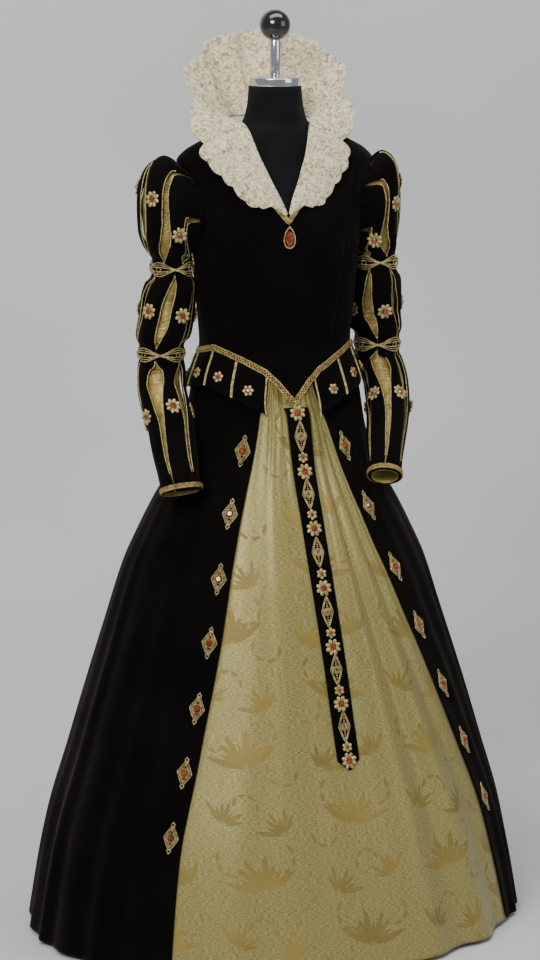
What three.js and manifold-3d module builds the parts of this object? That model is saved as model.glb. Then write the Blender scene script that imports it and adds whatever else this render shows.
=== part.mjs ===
// A worn medieval gown on a limbless dress form, in millimetres, +Z up, the front of the gown facing -Y.
// The origin is on the stand's axis at the underside of its base. "Right" and "left" are the wearer's.
import * as THREE from 'three';
import { mergeVertices } from 'three/addons/utils/BufferGeometryUtils.js';
import Module from 'manifold-3d';

const wasm = await Module();
wasm.setup();

// Driving dimensions
const velvetThickness = 2;
const satinThickness = 1.5;
const laceThickness = 2;
const seamGap = 0.3;
const hemHeight = 8;
const bodiceSeamRise = 0.3;
const skirtSeamDrop = 1.5;
const braidWidth = 11;
const braidThickness = 1.6;
const neckShift = -8;
const neckPointHeight = 1266;
const neckRadius = 66;
const collarFlutes = 9;
const fluteDepth = 11;
const tabCount = 7;
const girdleWidth = 40;
const broochInset = 20;
const roundSides = 24;

// Half widths and depths of the figure and the hung skirt, from the hem to the top of the neck
const sections = table(['z', 'side', 'front', 'back'], [
  [0, 438, 350, 370],
  [124, 418, 333, 352],
  [214, 399, 318, 335],
  [327, 365, 292, 307],
  [420, 338, 270, 284],
  [537, 303, 242, 256],
  [653, 267, 211, 226],
  [700, 246, 193, 209],
  [760, 216, 170, 187],
  [800, 193, 153, 172],
  [850, 169, 136, 155],
  [900, 157, 125, 142],
  [950, 150, 114, 130],
  [1000, 140, 106, 114],
  [1040, 133, 102, 106],
  [1100, 138, 108, 104],
  [1190, 146, 116, 106],
  [1250, 152, 108, 106],
  [1300, 160, 92, 100],
  [1330, 167, 80, 94],
  [1352, 173, 70, 86],
  [1368, 160, 66, 80],
  [1383, 134, 62, 74],
  [1400, 100, 58, 68],
  [1415, 60, 54, 60],
  [1444, 49, 49, 49],
  [1476, 46, 46, 46],
]);

// Height of the waist seam round the figure, by the angle from the front
const waistSeam = table(['angle', 'z'], [
  [0, 946],
  [11, 980],
  [20, 1000],
  [36, 1018],
  [50, 1029],
  [64, 1037],
  [97, 1024],
  [180, 1015],
]);

// Angles of the open edges of the overskirt, by height
const rightEdge = table(['z', 'angle'], [
  [0, -37.5],
  [191, -37.2],
  [373, -34.7],
  [594, -30.7],
  [809, -27.9],
  [943, -22],
  [1040, -17],
]);
const leftEdge = table(['z', 'angle'], [
  [0, 61],
  [134, 57.2],
  [274, 54],
  [398, 48.6],
  [516, 42.7],
  [602, 37.5],
  [700, 32.5],
  [843, 28],
  [900, 23.5],
  [976, 14.3],
  [1040, 10],
]);

// Angle of the girdle's middle line, by height
const girdleLine = table(['z', 'angle'], [
  [0, 11],
  [350, 7.5],
  [530, 6],
  [655, 4.5],
  [820, 3.4],
  [925, 1.8],
  [946, 0],
  [1040, 0],
]);

const skirtRowHeights = [hemHeight, 170, 340, 520, 680, 790, 895];
const bodiceRowHeights = [1062, 1100, 1190, 1250, 1300, 1335, 1352, 1368, 1383, 1400, 1414];
const bodiceAngles = [0, 5.5, 11, 20, 36, 50, 64, 80, 97, 114, 131, 148, 164];

// Half widths and depths of the dress form below the waist, from its flat underside up
const formHips = table(['z', 'side', 'depth'], [
  [800, 150, 100],
  [815, 158, 108],
  [870, 156, 112],
  [930, 143, 104],
  [985, 130, 98],
  [1025, 124, 94],
]);

// The princess seam of the bodice, from the shoulder to the waist, as distance from the middle
const princessSeam = table(['x', 'z'], [
  [142, 1420],
  [132, 1370],
  [118, 1290],
  [110, 1240],
  [98, 1200],
  [89, 1118],
  [80, 1060],
  [72, 940],
]);

// The neck opening's edge in front, as distance from its middle
const neckOpening = table(['x', 'z'], [
  [0, neckPointHeight],
  [24, 1317],
  [45, 1365],
  [56, 1412],
  [58, 1500],
]);
const armhole = { z: 1267, halfHeight: 73, halfDepth: 46 };

// The collar from the point in front to the middle of the back: its foot at the neck, its edge, how much
// it is fluted there, and how far the worn edge has shifted sideways on each side
const collarRibs = table(['footX', 'footY', 'footZ', 'edgeX', 'edgeY', 'edgeZ', 'flute', 'right', 'left'], [
  [1, -103, 1269, 4, -104, 1264, 0, 0, 0],
  [8, -98, 1288, 30, -104, 1279, 0, 0, 0],
  [15, -93, 1304, 48, -100, 1277, 0, 0, 0],
  [22, -88, 1319, 70, -94, 1285, 0, 0, 0],
  [31, -80, 1341, 88, -84, 1307, 0, 0, 0],
  [40, -72, 1363, 103, -74, 1323, 0, 0, 0],
  [47, -62, 1386, 117, -64, 1343, 0.2, -3, 0],
  [53, -50, 1406, 124, -50, 1370, 0.5, -15, 0],
  [60, -34, 1418, 128, -34, 1400, 0.8, -10, 0],
  [66, -14, 1422, 133, -12, 1434, 1, -2, 0],
  [68, 8, 1422, 138, 16, 1468, 1, 0, 0],
  [66, 28, 1422, 137, 46, 1496, 1, 11, 3],
  [58, 46, 1422, 127, 76, 1520, 1, 15, 8],
  [44, 60, 1422, 107, 103, 1539, 1, 18, 14],
  [24, 69, 1422, 76, 123, 1553, 1, 17, 14],
  [8, 73, 1422, 38, 137, 1563, 1, 12, 12],
  [0, 73, 1422, 0, 142, 1567, 1, 8, 8],
]);

// Rings of the upper puff from the band to the shoulder, by their points at the body and away from it.
// The turn is how far the slashes have swung round the arm at that ring.
const puffRings = table(['innerX', 'innerZ', 'rightX', 'leftX', 'outerZ', 'depth', 'liningGap', 'turn'], [
  [149.6, 1171.15, 216.6, 216.6, 1171.15, 33.5, 4, 20],
  [149.4, 1180, 217, 216, 1184.5, 33.8, 4, 20],
  [150.5, 1184, 229, 219, 1206, 41, 6, 8],
  [151.5, 1184, 239, 222, 1240, 47, 9, -6],
  [152, 1186, 241, 223, 1282, 50, 10, -10],
  [152.5, 1188, 234, 220, 1324, 52, 11.5, -2],
  [153, 1190, 217, 210, 1352, 51, 11, 14],
  [153, 1192, 196, 193, 1362, 49, 10, 30],
  [154, 1194, 177, 177, 1343, 48, 7, 42],
]);

// Middle lines of the two arms below the upper band
const armLines = table(['z', 'rightX', 'rightY', 'leftX', 'leftY'], [
  [803, 199, -118, 151, -151],
  [830, 201, -102, 159, -130],
  [863, 201, -80, 168, -104],
  [900, 201, -54, 182, -73],
  [932, 205, -31, 193, -40],
  [965, 207, -8, 199, -6],
  [1009, 203, 2, 193, 20],
  [1041, 203, 2, 193, 20],
  [1075, 196, 2, 188, 26],
  [1110, 191, 2, 186, 19],
  [1155, 183.1, 0, 183.1, 0],
  [1171, 183.1, 0, 183.1, 0],
]);
const middleRings = table(['z', 'radius', 'liningGap'], [
  [1025.15, 37.5, 4.4],
  [1038.5, 37.8, 5.2],
  [1052, 43, 7],
  [1075, 45.5, 8],
  [1110, 45.5, 8],
  [1142, 41, 8],
  [1158, 33.8, 5.8],
  [1170.85, 33.5, 4],
]);

// Rings of the lower stretch, by their share of the way from the cuff up to the lower band
const cuffHeights = { right: 803, left: 815 };
const lowerTop = 1024.85;
const lowerRings = table(['share', 'right', 'left', 'liningGap'], [
  [0, 33.5, 27.5, 4.4],
  [0.125, 34, 29, 4.4],
  [0.27, 36, 32, 4.8],
  [0.44, 38, 34.5, 6],
  [0.58, 40, 36.5, 7],
  [0.73, 41, 38, 7],
  [0.86, 40, 38, 8],
  [0.94, 37.8, 37.8, 6.2],
  [1, 37.5, 37.5, 4.4],
]);

// Slashes of each stretch of sleeve: how many, where the first lies on each arm, its lean and its widths
const slashes = {
  upper: { count: 6, right: -70, left: -90, lean: 0, widths: [0, 2, 15, 21, 23, 23, 18, 12, 0] },
  middle: { count: 5, right: -73, left: -119, lean: 14, widths: [0, 2, 12, 19, 19, 12, 2, 0] },
  lower: { count: 5, right: -56, left: -106, lean: 0, widths: [0, 4, 8, 11, 20, 33, 22, 3, 0] },
};

const pleatTop = 920;
const pleats = { side: { count: 5, depth: 9 }, back: { count: 9, depth: 12 } };

const colours = {
  velvet: [0x1c1410, 0.9, 0],
  satin: [0xc9ad62, 0.45, 0],
  damask: [0xd8c07a, 0.45, 0],
  lace: [0xe9e1cd, 0.85, 0],
  braid: [0xb8963e, 0.45, 0.6],
  amber: [0xa8500f, 0.15, 0],
  jersey: [0x0c0d12, 0.9, 0],
  chrome: [0xc8c8cc, 0.15, 1],
  gloss: [0x060606, 0.2, 0],
  enamel: [0x1a1a1a, 0.45, 0],
};

// Tables and plain numbers

function table(columns, rows) {
  return rows.map((row) => Object.fromEntries(columns.map((column, i) => [column, row[i]])));
}

function mix(a, b, share) {
  return a + (b - a) * share;
}

function lookUp(rows, key, value, column) {
  const last = rows.length - 1;
  if (value <= rows[0][key]) return rows[0][column];
  if (value >= rows[last][key]) return rows[last][column];
  const above = rows.findIndex((row) => row[key] > value);
  const low = rows[above - 1];
  const high = rows[above];
  return mix(low[column], high[column], (value - low[key]) / (high[key] - low[key]));
}

function radians(degrees) {
  return THREE.MathUtils.degToRad(degrees);
}

function seamHeight(angle) {
  const turn = Math.abs(angle);
  return lookUp(waistSeam, 'angle', turn > 180 ? 360 - turn : turn, 'z');
}

// A point of the figure or skirt at an angle from the front, moved out sideways
function sectionPoint(angle, z, out = 0) {
  const turn = radians(angle);
  const side = lookUp(sections, 'z', z, 'side') + out;
  const depth = lookUp(sections, 'z', z, Math.cos(turn) > 0 ? 'front' : 'back') + out;
  return new THREE.Vector3(side * Math.sin(turn), -depth * Math.cos(turn), z);
}

// Walls from grids of points, whose rows go up and whose columns go anticlockwise seen from above

function gridNormals(grid, round) {
  const rowCount = grid.length;
  const columnCount = grid[0].length;
  return grid.map((row, r) => row.map((_, c) => {
    const before = round ? (c + columnCount - 1) % columnCount : Math.max(c - 1, 0);
    const after = round ? (c + 1) % columnCount : Math.min(c + 1, columnCount - 1);
    const along = row[after].clone().sub(row[before]);
    const up = grid[Math.min(r + 1, rowCount - 1)][c].clone().sub(grid[Math.max(r - 1, 0)][c]);
    return along.cross(up).normalize();
  }));
}

function moveOut(grid, distance, round = false) {
  const normals = gridNormals(grid, round);
  return grid.map((row, r) => row.map((point, c) => point.clone().addScaledVector(normals[r][c], distance)));
}

function geometryOf(points, triangles) {
  const geometry = new THREE.BufferGeometry();
  const numbers = points.flatMap((point) => [point.x, point.y, point.z]);
  geometry.setAttribute('position', new THREE.Float32BufferAttribute(numbers, 3));
  geometry.setIndex(triangles.flat());
  return geometry;
}

function wall(outer, thickness, { round = false, isOpen = () => false } = {}) {
  return wallBetween(outer, moveOut(outer, -thickness, round), { round, isOpen });
}

function wallBetween(outer, inner, { round = false, isOpen = () => false }) {
  const rowCount = outer.length;
  const columnCount = outer[0].length;
  const cellColumns = round ? columnCount : columnCount - 1;
  const points = [...outer.flat(), ...inner.flat()];
  const index = (r, c, layer) => layer * rowCount * columnCount + r * columnCount + (c % columnCount);
  const isFilled = (r, c) => {
    const column = round ? (c + cellColumns) % cellColumns : c;
    return r >= 0 && r < rowCount - 1 && column >= 0 && column < cellColumns && !isOpen(r, column);
  };
  const triangles = [];
  for (let r = 0; r < rowCount - 1; r += 1) {
    for (let c = 0; c < cellColumns; c += 1) {
      if (!isFilled(r, c)) continue;
      const corners = [[r, c], [r, c + 1], [r + 1, c + 1], [r + 1, c]];
      const [a, b, d, e] = corners.map(([row, column]) => index(row, column, 0));
      const [a2, b2, d2, e2] = corners.map(([row, column]) => index(row, column, 1));
      triangles.push([a, b, d], [a, d, e], [a2, d2, b2], [a2, e2, d2]);
      if (!isFilled(r - 1, c)) triangles.push([b, a, a2], [b, a2, b2]);
      if (!isFilled(r, c + 1)) triangles.push([d, b, b2], [d, b2, d2]);
      if (!isFilled(r + 1, c)) triangles.push([e, d, d2], [e, d2, e2]);
      if (!isFilled(r, c - 1)) triangles.push([a, e, e2], [a, e2, a2]);
    }
  }
  return geometryOf(points, triangles);
}

// A closed solid from rings of equal length, with a point in the middle of each end
function stack(rings, bottom, top) {
  const count = rings[0].length;
  const points = [...rings.flat(), bottom, top];
  const bottomIndex = points.length - 2;
  const triangles = [];
  for (let i = 0; i < count; i += 1) {
    const next = (i + 1) % count;
    triangles.push([bottomIndex, next, i]);
    for (let k = 0; k < rings.length - 1; k += 1) {
      const low = k * count;
      const high = low + count;
      triangles.push([low + i, low + next, high + next], [low + i, high + next, high + i]);
    }
    const last = (rings.length - 1) * count;
    triangles.push([last + i, last + next, bottomIndex + 1]);
  }
  return geometryOf(points, triangles);
}

// A solid turned about the axis of the stand, from the radius and height of each corner
function turned(profile, sides = roundSides) {
  const rings = profile.map(([radius, z]) => Array.from({ length: sides }, (_, i) => {
    const angle = (2 * Math.PI * i) / sides;
    return new THREE.Vector3(radius * Math.cos(angle), radius * Math.sin(angle), z);
  }));
  const axisPoint = (z) => new THREE.Vector3(0, 0, z);
  return stack(rings, axisPoint(profile[0][1]), axisPoint(profile[profile.length - 1][1]));
}

// Joining and cutting

function toManifold(geometry) {
  const bare = geometry.clone();
  bare.deleteAttribute('normal');
  bare.deleteAttribute('uv');
  const merged = mergeVertices(bare, 1e-4);
  const mesh = new wasm.Mesh({
    numProp: 3,
    vertProperties: new Float32Array(merged.attributes.position.array),
    triVerts: new Uint32Array(merged.index.array),
  });
  return new wasm.Manifold(mesh);
}

function fromManifold(manifold) {
  const mesh = manifold.getMesh();
  const geometry = new THREE.BufferGeometry();
  geometry.setAttribute('position', new THREE.BufferAttribute(new Float32Array(mesh.vertProperties), 3));
  geometry.setIndex(new THREE.BufferAttribute(new Uint32Array(mesh.triVerts), 1));
  return geometry;
}

function joined(geometry, additions) {
  const whole = additions.reduce((solid, extra) => solid.add(toManifold(extra)), toManifold(geometry));
  const bodies = whole.decompose().sort((a, b) => b.volume() - a.volume());
  return fromManifold(bodies[0]);
}

// A flat outline in X and Z, extruded from one Y to another
function cutterAlongY(outline, fromY, toY) {
  const shape = new THREE.Shape(outline.map(([x, z]) => new THREE.Vector2(x, z)));
  const geometry = new THREE.ExtrudeGeometry(shape, { depth: toY - fromY, bevelEnabled: false });
  geometry.rotateX(Math.PI / 2);
  geometry.translate(0, toY, 0);
  return toManifold(geometry);
}

// A flat outline in Y and Z, extruded from one X to another
function cutterAlongX(outline, fromX, toX) {
  const shape = new THREE.Shape(outline.map(([y, z]) => new THREE.Vector2(y, z)));
  const geometry = new THREE.ExtrudeGeometry(shape, { depth: toX - fromX, bevelEnabled: false });
  geometry.rotateX(Math.PI / 2);
  geometry.rotateZ(Math.PI / 2);
  geometry.translate(fromX, 0, 0);
  return toManifold(geometry);
}

function cutterBox(minimum, maximum) {
  const size = maximum.map((value, i) => value - minimum[i]);
  const geometry = new THREE.BoxGeometry(...size);
  geometry.translate(...minimum.map((value, i) => value + size[i] / 2));
  return toManifold(geometry);
}

// Pieces that lie on a panel are made from the panel's own points, moved out

function gridPoint(grid, normals, row, column, height) {
  const r = THREE.MathUtils.clamp(Math.floor(row), 0, grid.length - 2);
  const c = THREE.MathUtils.clamp(Math.floor(column), 0, grid[0].length - 2);
  const g = row - r;
  const f = column - c;
  const blend = (source) => {
    const a = source[r][c];
    const b = source[r][c + 1];
    const d = source[r + 1][c + 1];
    const e = source[r + 1][c];
    const point = a.clone();
    if (f >= g) return point.addScaledVector(b.clone().sub(a), f).addScaledVector(d.clone().sub(b), g);
    return point.addScaledVector(e.clone().sub(a), g).addScaledVector(d.clone().sub(e), f);
  };
  return blend(grid).addScaledVector(blend(normals).normalize(), height);
}

// Gives the function that turns millimetres across, along and out from a place on a panel into a point
function placeOn(grid, row, column) {
  const normals = gridNormals(grid, false);
  const r = Math.floor(Math.min(row, grid.length - 2));
  const c = Math.floor(Math.min(column, grid[0].length - 2));
  const cellWidth = grid[r][c + 1].distanceTo(grid[r][c]);
  const cellHeight = grid[r + 1][c].distanceTo(grid[r][c]);
  const widthBefore = c > 0 ? grid[r][c].distanceTo(grid[r][c - 1]) : cellWidth;
  const heightBefore = r > 0 ? grid[r][c].distanceTo(grid[r - 1][c]) : cellHeight;
  const shift = (distance, start, after, before) => {
    const left = (start - Math.floor(start)) * after;
    return start + (distance >= -left ? distance / after : -left / after + (distance + left) / before);
  };
  return (across, along, height) => gridPoint(
    grid,
    normals,
    shift(along, row, cellHeight, heightBefore),
    shift(across, column, cellWidth, widthBefore),
    height,
  );
}

function circleOutline(radius, sides) {
  return Array.from({ length: sides }, (_, i) => {
    const angle = (2 * Math.PI * (i + 0.5)) / sides;
    return [radius * Math.cos(angle), radius * Math.sin(angle)];
  });
}

function scaledOutline(outline, share) {
  return outline.map(([across, along]) => [across * share, along * share]);
}

function applique(place, layers, crown) {
  const rings = layers.map(({ outline, height }) => outline.map(([u, v]) => place(u, v, height)));
  return stack(rings, place(0, 0, layers[0].height), place(0, 0, crown));
}

// A flower of beads with a stone in its middle, sunk a little into the cloth when it is raised from it
function flower(place, radius, sides, foot) {
  const outline = circleOutline(radius, sides);
  return applique(place, [
    { outline, height: foot },
    { outline: scaledOutline(outline, 0.85), height: 2.8 },
  ], 4.6);
}

const seatHeight = 0.5;
const sunkHeight = -0.8;

// The scene

const gown = new THREE.Group();

function addPiece(name, geometry, finish) {
  const bare = geometry.clone();
  bare.deleteAttribute('normal');
  bare.deleteAttribute('uv');
  const merged = mergeVertices(bare, 1e-4);
  merged.computeVertexNormals();
  const [color, roughness, metalness] = colours[finish];
  const material = new THREE.MeshStandardMaterial({ color, roughness, metalness });
  const piece = new THREE.Mesh(merged, material);
  piece.name = name;
  gown.add(piece);
}

function mirrored(geometry) {
  const copy = geometry.clone();
  copy.scale(-1, 1, 1);
  const index = copy.index.array;
  for (let i = 0; i < index.length; i += 3) {
    [index[i + 1], index[i + 2]] = [index[i + 2], index[i + 1]];
  }
  return copy;
}

// The stand and the dress form

const stand = {
  baseRadius: 175,
  baseRim: 8,
  hubRadius: 34,
  hubHeight: 30,
  poleRadius: 16,
  torsoBottom: 800,
};

addPiece('stand', turned([
  [stand.baseRadius, 0],
  [stand.baseRadius, stand.baseRim],
  [stand.hubRadius, stand.baseRim + 12],
  [stand.poleRadius + 4, stand.hubHeight],
  [stand.poleRadius, stand.hubHeight + 2],
  [stand.poleRadius, stand.torsoBottom - seamGap],
]), 'enamel');

const capBottom = 1476.3;
const cap = { radius: 43.5, sideHeight: 13, coneHeight: 20, coneRadius: 13 };
addPiece('neck_cap', turned([
  [cap.radius, capBottom],
  [cap.radius, capBottom + cap.sideHeight],
  [cap.coneRadius, capBottom + cap.coneHeight],
]), 'chrome');

const rodBottom = capBottom + cap.coneHeight + seamGap;
const ball = { radius: 26.5, centre: 1578.5, flatRadius: 10 };
const ballBottom = ball.centre - Math.sqrt(ball.radius ** 2 - ball.flatRadius ** 2);
addPiece('finial_rod', turned([[9, rodBottom], [9, ballBottom - seamGap]], 16), 'chrome');

const ballRings = 7;
const ballProfile = Array.from({ length: ballRings }, (_, i) => {
  const start = -Math.acos(ball.flatRadius / ball.radius);
  const latitude = mix(start, radians(76), i / (ballRings - 1));
  return [ball.radius * Math.cos(latitude), ball.centre + ball.radius * Math.sin(latitude)];
});
addPiece('finial_ball', turned(ballProfile, 16), 'gloss');

const roundAngles = [
  ...bodiceAngles,
  180,
  ...bodiceAngles.slice(1).reverse().map((angle) => 360 - angle),
];

function bodiceGrid() {
  const lowest = (angle) => seamHeight(angle) + bodiceSeamRise;
  const firstLevel = bodiceRowHeights[0];
  const heights = [
    lowest,
    (angle) => mix(lowest(angle), firstLevel, 0.5),
    ...bodiceRowHeights.map((height) => () => height),
  ];
  return heights.map((height) => roundAngles.map((angle) => sectionPoint(angle, height(angle))));
}

const bodicePoints = bodiceGrid();

function buildForm() {
  const clearance = (z) => (z < 1150 ? 6 : mix(6, 2.7, Math.min((z - 1150) / 150, 1)));
  const rowsBelow = formHips.map(({ z, side, depth }) => roundAngles.map((angle) => {
    const turn = radians(angle);
    return new THREE.Vector3(side * Math.sin(turn), -depth * Math.cos(turn), z);
  }));
  const rowsShared = bodicePoints.slice(2);
  const normals = gridNormals(rowsShared, true);
  const rowsAbove = rowsShared.map((row, r) => row.map((point, c) => {
    const out = -clearance(bodiceRowHeights[r]);
    return point.clone().addScaledVector(normals[r][c], out);
  }));
  const neck = [1430, 1450, 1476].map((z) => roundAngles.map((angle) => sectionPoint(angle, z, -1)));
  const rings = [...rowsBelow, ...rowsAbove, ...neck];
  const middle = (ring) => new THREE.Vector3(0, 0, ring[0].z);
  addPiece('form_torso', stack(rings, middle(rings[0]), middle(rings[rings.length - 1])), 'jersey');
}

buildForm();

// The bodice: one shell, then the neck, the armholes and the seams are cut

function buildBodice() {
  const reach = 260;
  const half = seamGap / 2;
  const bottom = 900;
  const top = 1500;
  const backNeckBottom = 1380;
  const armholeStart = 105;
  const sideSeamStart = 20;
  const backSeamStart = 5;
  let shell = toManifold(wall(bodicePoints, velvetThickness, { round: true }));
  const rightSide = neckOpening.map(({ x, z }) => [neckShift + x, z]);
  const leftSide = neckOpening.slice(1).map(({ x, z }) => [neckShift - x, z]).reverse();
  shell = shell.subtract(cutterAlongY([...rightSide, ...leftSide], -reach, 0));
  const backNeck = circleOutline(neckRadius, 18).map(([x, y]) => new THREE.Vector3(x, y, backNeckBottom));
  const backNeckTop = backNeck.map((point) => point.clone().setZ(top));
  shell = shell.subtract(toManifold(stack(
    [backNeck, backNeckTop],
    new THREE.Vector3(0, 0, backNeckBottom),
    new THREE.Vector3(0, 0, top),
  )));
  const hole = circleOutline(1, 16).map(([y, z]) => (
    [y * armhole.halfDepth, armhole.z + z * armhole.halfHeight]
  ));
  shell = shell.subtract(cutterAlongX(hole, armholeStart, reach));
  shell = shell.subtract(cutterAlongX(hole, -reach, -armholeStart));
  shell = shell.subtract(cutterBox([sideSeamStart, -half, bottom], [reach, half, top]));
  shell = shell.subtract(cutterBox([-reach, -half, bottom], [-sideSeamStart, half, top]));
  shell = shell.subtract(cutterBox([-half, backSeamStart, bottom], [half, reach, top]));
  for (const side of [-1, 1]) {
    const inside = princessSeam.map(({ x, z }) => [side * x - half, z]);
    const outside = princessSeam.map(({ x, z }) => [side * x + half, z]).reverse();
    shell = shell.subtract(cutterAlongY([...inside, ...outside], -reach, 0));
  }
  const minimumVolume = 500;
  for (const body of shell.decompose().filter((solid) => solid.volume() > minimumVolume)) {
    const box = body.boundingBox();
    const middleX = (box.min[0] + box.max[0]) / 2;
    const middleY = (box.min[1] + box.max[1]) / 2;
    const isBack = middleY > 0;
    const isMiddle = Math.abs(middleX) < 30;
    const side = middleX < 0 ? 'right' : 'left';
    const name = isBack ? `bodice_back_${side}` : isMiddle ? 'bodice_front' : `bodice_side_front_${side}`;
    addPiece(name, fromManifold(body), 'velvet');
  }
}

buildBodice();

// The collar: a fluted fan behind the neck that folds down into two lapels in front

function pushClear(point, clearance) {
  const side = lookUp(sections, 'z', point.z, 'side') + clearance;
  const depth = lookUp(sections, 'z', point.z, point.y < 0 ? 'front' : 'back') + clearance;
  const share = Math.hypot(point.x / side, point.y / depth);
  return share >= 1 ? point : new THREE.Vector3(point.x / share, point.y / share, point.z);
}

const collarSteps = table(['share', 'bulge', 'clearance'], [
  [0, 0, 2.25],
  [0.35, 5, 5],
  [0.7, 4, 4.5],
  [1, 0, 2.5],
]);

// Below this height the collar lies on the bodice and the form
const collarFreeHeight = 1412;
const fluteCrowding = 1.45;

function curveThrough(points) {
  return new THREE.CatmullRomCurve3(points.map(([x, y, z]) => new THREE.Vector3(x, y, z)));
}

function collarGrid() {
  const foot = curveThrough(collarRibs.map((rib) => [rib.footX, rib.footY, rib.footZ]));
  const edge = curveThrough(collarRibs.map((rib) => [rib.edgeX, rib.edgeY, rib.edgeZ]));
  const halfCount = 23;
  const shares = Array.from({ length: halfCount + 1 }, (_, i) => i / halfCount);
  const column = (share, sign, step) => {
    const rib = share * (collarRibs.length - 1);
    const low = collarRibs[Math.floor(rib)];
    const high = collarRibs[Math.min(Math.floor(rib) + 1, collarRibs.length - 1)];
    const fluting = mix(low.flute, high.flute, rib - Math.floor(rib));
    const side = sign < 0 ? 'right' : 'left';
    const shift = step.share * mix(low[side], high[side], rib - Math.floor(rib));
    const from = foot.getPoint(share);
    const to = edge.getPoint(share);
    const point = from.clone().lerp(to, step.share);
    const outward = new THREE.Vector3(point.x, point.y, 0).normalize();
    const wave = Math.cos(Math.PI * collarFlutes * (1 - share) * fluteCrowding);
    point.addScaledVector(outward, step.bulge + fluteDepth * fluting * step.share ** 1.3 * wave);
    const cleared = point.z < collarFreeHeight ? pushClear(point, step.clearance) : point;
    return new THREE.Vector3(neckShift + sign * cleared.x + shift, cleared.y, cleared.z);
  };
  return collarSteps.map((step) => [
    ...shares.map((share) => column(share, 1, step)),
    ...shares.slice(0, -1).reverse().map((share) => column(share, -1, step)),
  ]);
}

addPiece('collar', wall(collarGrid(), laceThickness), 'lace');

// Strips that lie on the bodice

function frontPoint(x, z, out) {
  const side = lookUp(sections, 'z', z, 'side') + out;
  const depth = lookUp(sections, 'z', z, 'front') + out;
  return new THREE.Vector3(x, -depth * Math.sqrt(Math.max(1 - (x / side) ** 2, 0)), z);
}

const neckBraid = { width: 9, armX: 25, armRise: 32, tipZ: 1249 };

function neckBraidGrid() {
  const shares = [-1, -0.5, 0, 0.5, 1];
  const row = (lift) => shares.map((share) => {
    const x = neckShift + share * neckBraid.armX;
    const z = neckBraid.tipZ + Math.abs(share) * neckBraid.armRise + lift;
    return frontPoint(x, z, seatHeight + braidThickness);
  });
  return [row(0), row(neckBraid.width)];
}

addPiece('neck_braid', wall(neckBraidGrid(), braidThickness), 'braid');

const braidReach = braidWidth / 2;
const braidAngles = [
  0, 5.5, 11, 20, 29, 38, 47, 56, 65, 74, 83, 92, 101, 110, 119, 128, 137, 146, 155, 164, 172,
];

function waistBraidGrid() {
  const angles = [...braidAngles, 180, ...braidAngles.slice(1).reverse().map((angle) => 360 - angle)];
  const row = (lift) => angles.map((angle) => {
    const z = seamHeight(angle) + lift;
    return sectionPoint(angle, z, seatHeight + velvetThickness * 0.4 + braidThickness);
  });
  return [row(-braidReach), row(braidReach)];
}

addPiece('waist_braid', wall(waistBraidGrid(), braidThickness, { round: true }), 'braid');

// The pendant below the neck's point

const pendant = { width: 21, length: 37, topZ: 1246 };

function pendantPlace(u, v, height) {
  return frontPoint(neckShift + u, pendant.topZ - pendant.length / 2 + v, height);
}

const pendantOutline = Array.from({ length: 12 }, (_, i) => {
  const angle = (2 * Math.PI * i) / 12;
  const taper = 1 - 0.28 * Math.sin(angle);
  return [(pendant.width / 2) * Math.cos(angle) * taper, (pendant.length / 2) * Math.sin(angle)];
});

addPiece('pendant', applique(pendantPlace, [
  { outline: pendantOutline, height: 0.9 },
  { outline: pendantOutline, height: 3 },
  { outline: scaledOutline(pendantOutline, 0.7), height: 6 },
], 7.5), 'amber');

// The skirts: rows follow the seam above and the floor below

function pleatWave(angle, z, from, to, style) {
  const share = (angle - from) / (to - from);
  const swell = Math.max(1 - z / pleatTop, 0);
  return style.depth * swell * (0.5 - 0.5 * Math.cos(2 * Math.PI * style.count * share));
}

function skirtGrid(columns, out) {
  const rows = [...skirtRowHeights.map((height) => () => height)];
  const last = skirtRowHeights[skirtRowHeights.length - 1];
  const top = (angle) => seamHeight(angle) - skirtSeamDrop;
  rows.push((angle) => mix(last, top(angle), 0.5), top);
  return rows.map((height) => columns.map((column, index) => {
    const angle = column(height(column(1000)));
    const z = height(angle);
    return sectionPoint(column(z), z, out(column(z), z, index));
  }));
}

const sideSeam = 100;
const sideSeamHalf = 0.45;
const forepartUnderlap = 50;
const forepartSink = -4;

function alongSkirt(line, distance) {
  return (z) => {
    const angle = lookUp(line, 'z', z, 'angle');
    const radius = lookUp(sections, 'z', z, 'side') * Math.cos(radians(angle)) ** 2
      + lookUp(sections, 'z', z, 'front') * Math.sin(radians(angle)) ** 2;
    return angle + THREE.MathUtils.radToDeg(distance / radius);
  };
}

function between(from, to, share) {
  return (z) => mix(from(z), to(z), share);
}

function besideSeam(angle, distance) {
  return alongSkirt([{ z: 0, angle }, { z: 1, angle }], distance);
}

function sidePanel(line, sign) {
  const edge = alongSkirt(line, 0);
  const inset = alongSkirt(line, sign * broochInset);
  const seam = besideSeam(sign * sideSeam, -sign * sideSeamHalf);
  const shares = Array.from({ length: 2 * pleats.side.count }, (_, i) => (i + 1) / (2 * pleats.side.count));
  const columns = [edge, inset, ...shares.map((share) => between(inset, seam, share))];
  if (sign < 0) columns.reverse();
  const out = (angle, z) => {
    const start = inset(z);
    const isFront = Math.abs(angle) <= Math.abs(start);
    return isFront ? 0 : pleatWave(angle, z, start, sign * sideSeam, pleats.side);
  };
  return skirtGrid(columns, out);
}

const overskirtRight = sidePanel(rightEdge, -1);
const overskirtLeft = sidePanel(leftEdge, 1);
const backStart = besideSeam(sideSeam, sideSeamHalf);
const backEnd = besideSeam(360 - sideSeam, -sideSeamHalf);
const backColumns = Array.from({ length: 2 * pleats.back.count + 1 }, (_, i) => (
  between(backStart, backEnd, i / (2 * pleats.back.count))
));
const overskirtBack = skirtGrid(
  backColumns,
  (angle, z) => pleatWave(angle, z, sideSeam, 360 - sideSeam, pleats.back),
);

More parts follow.
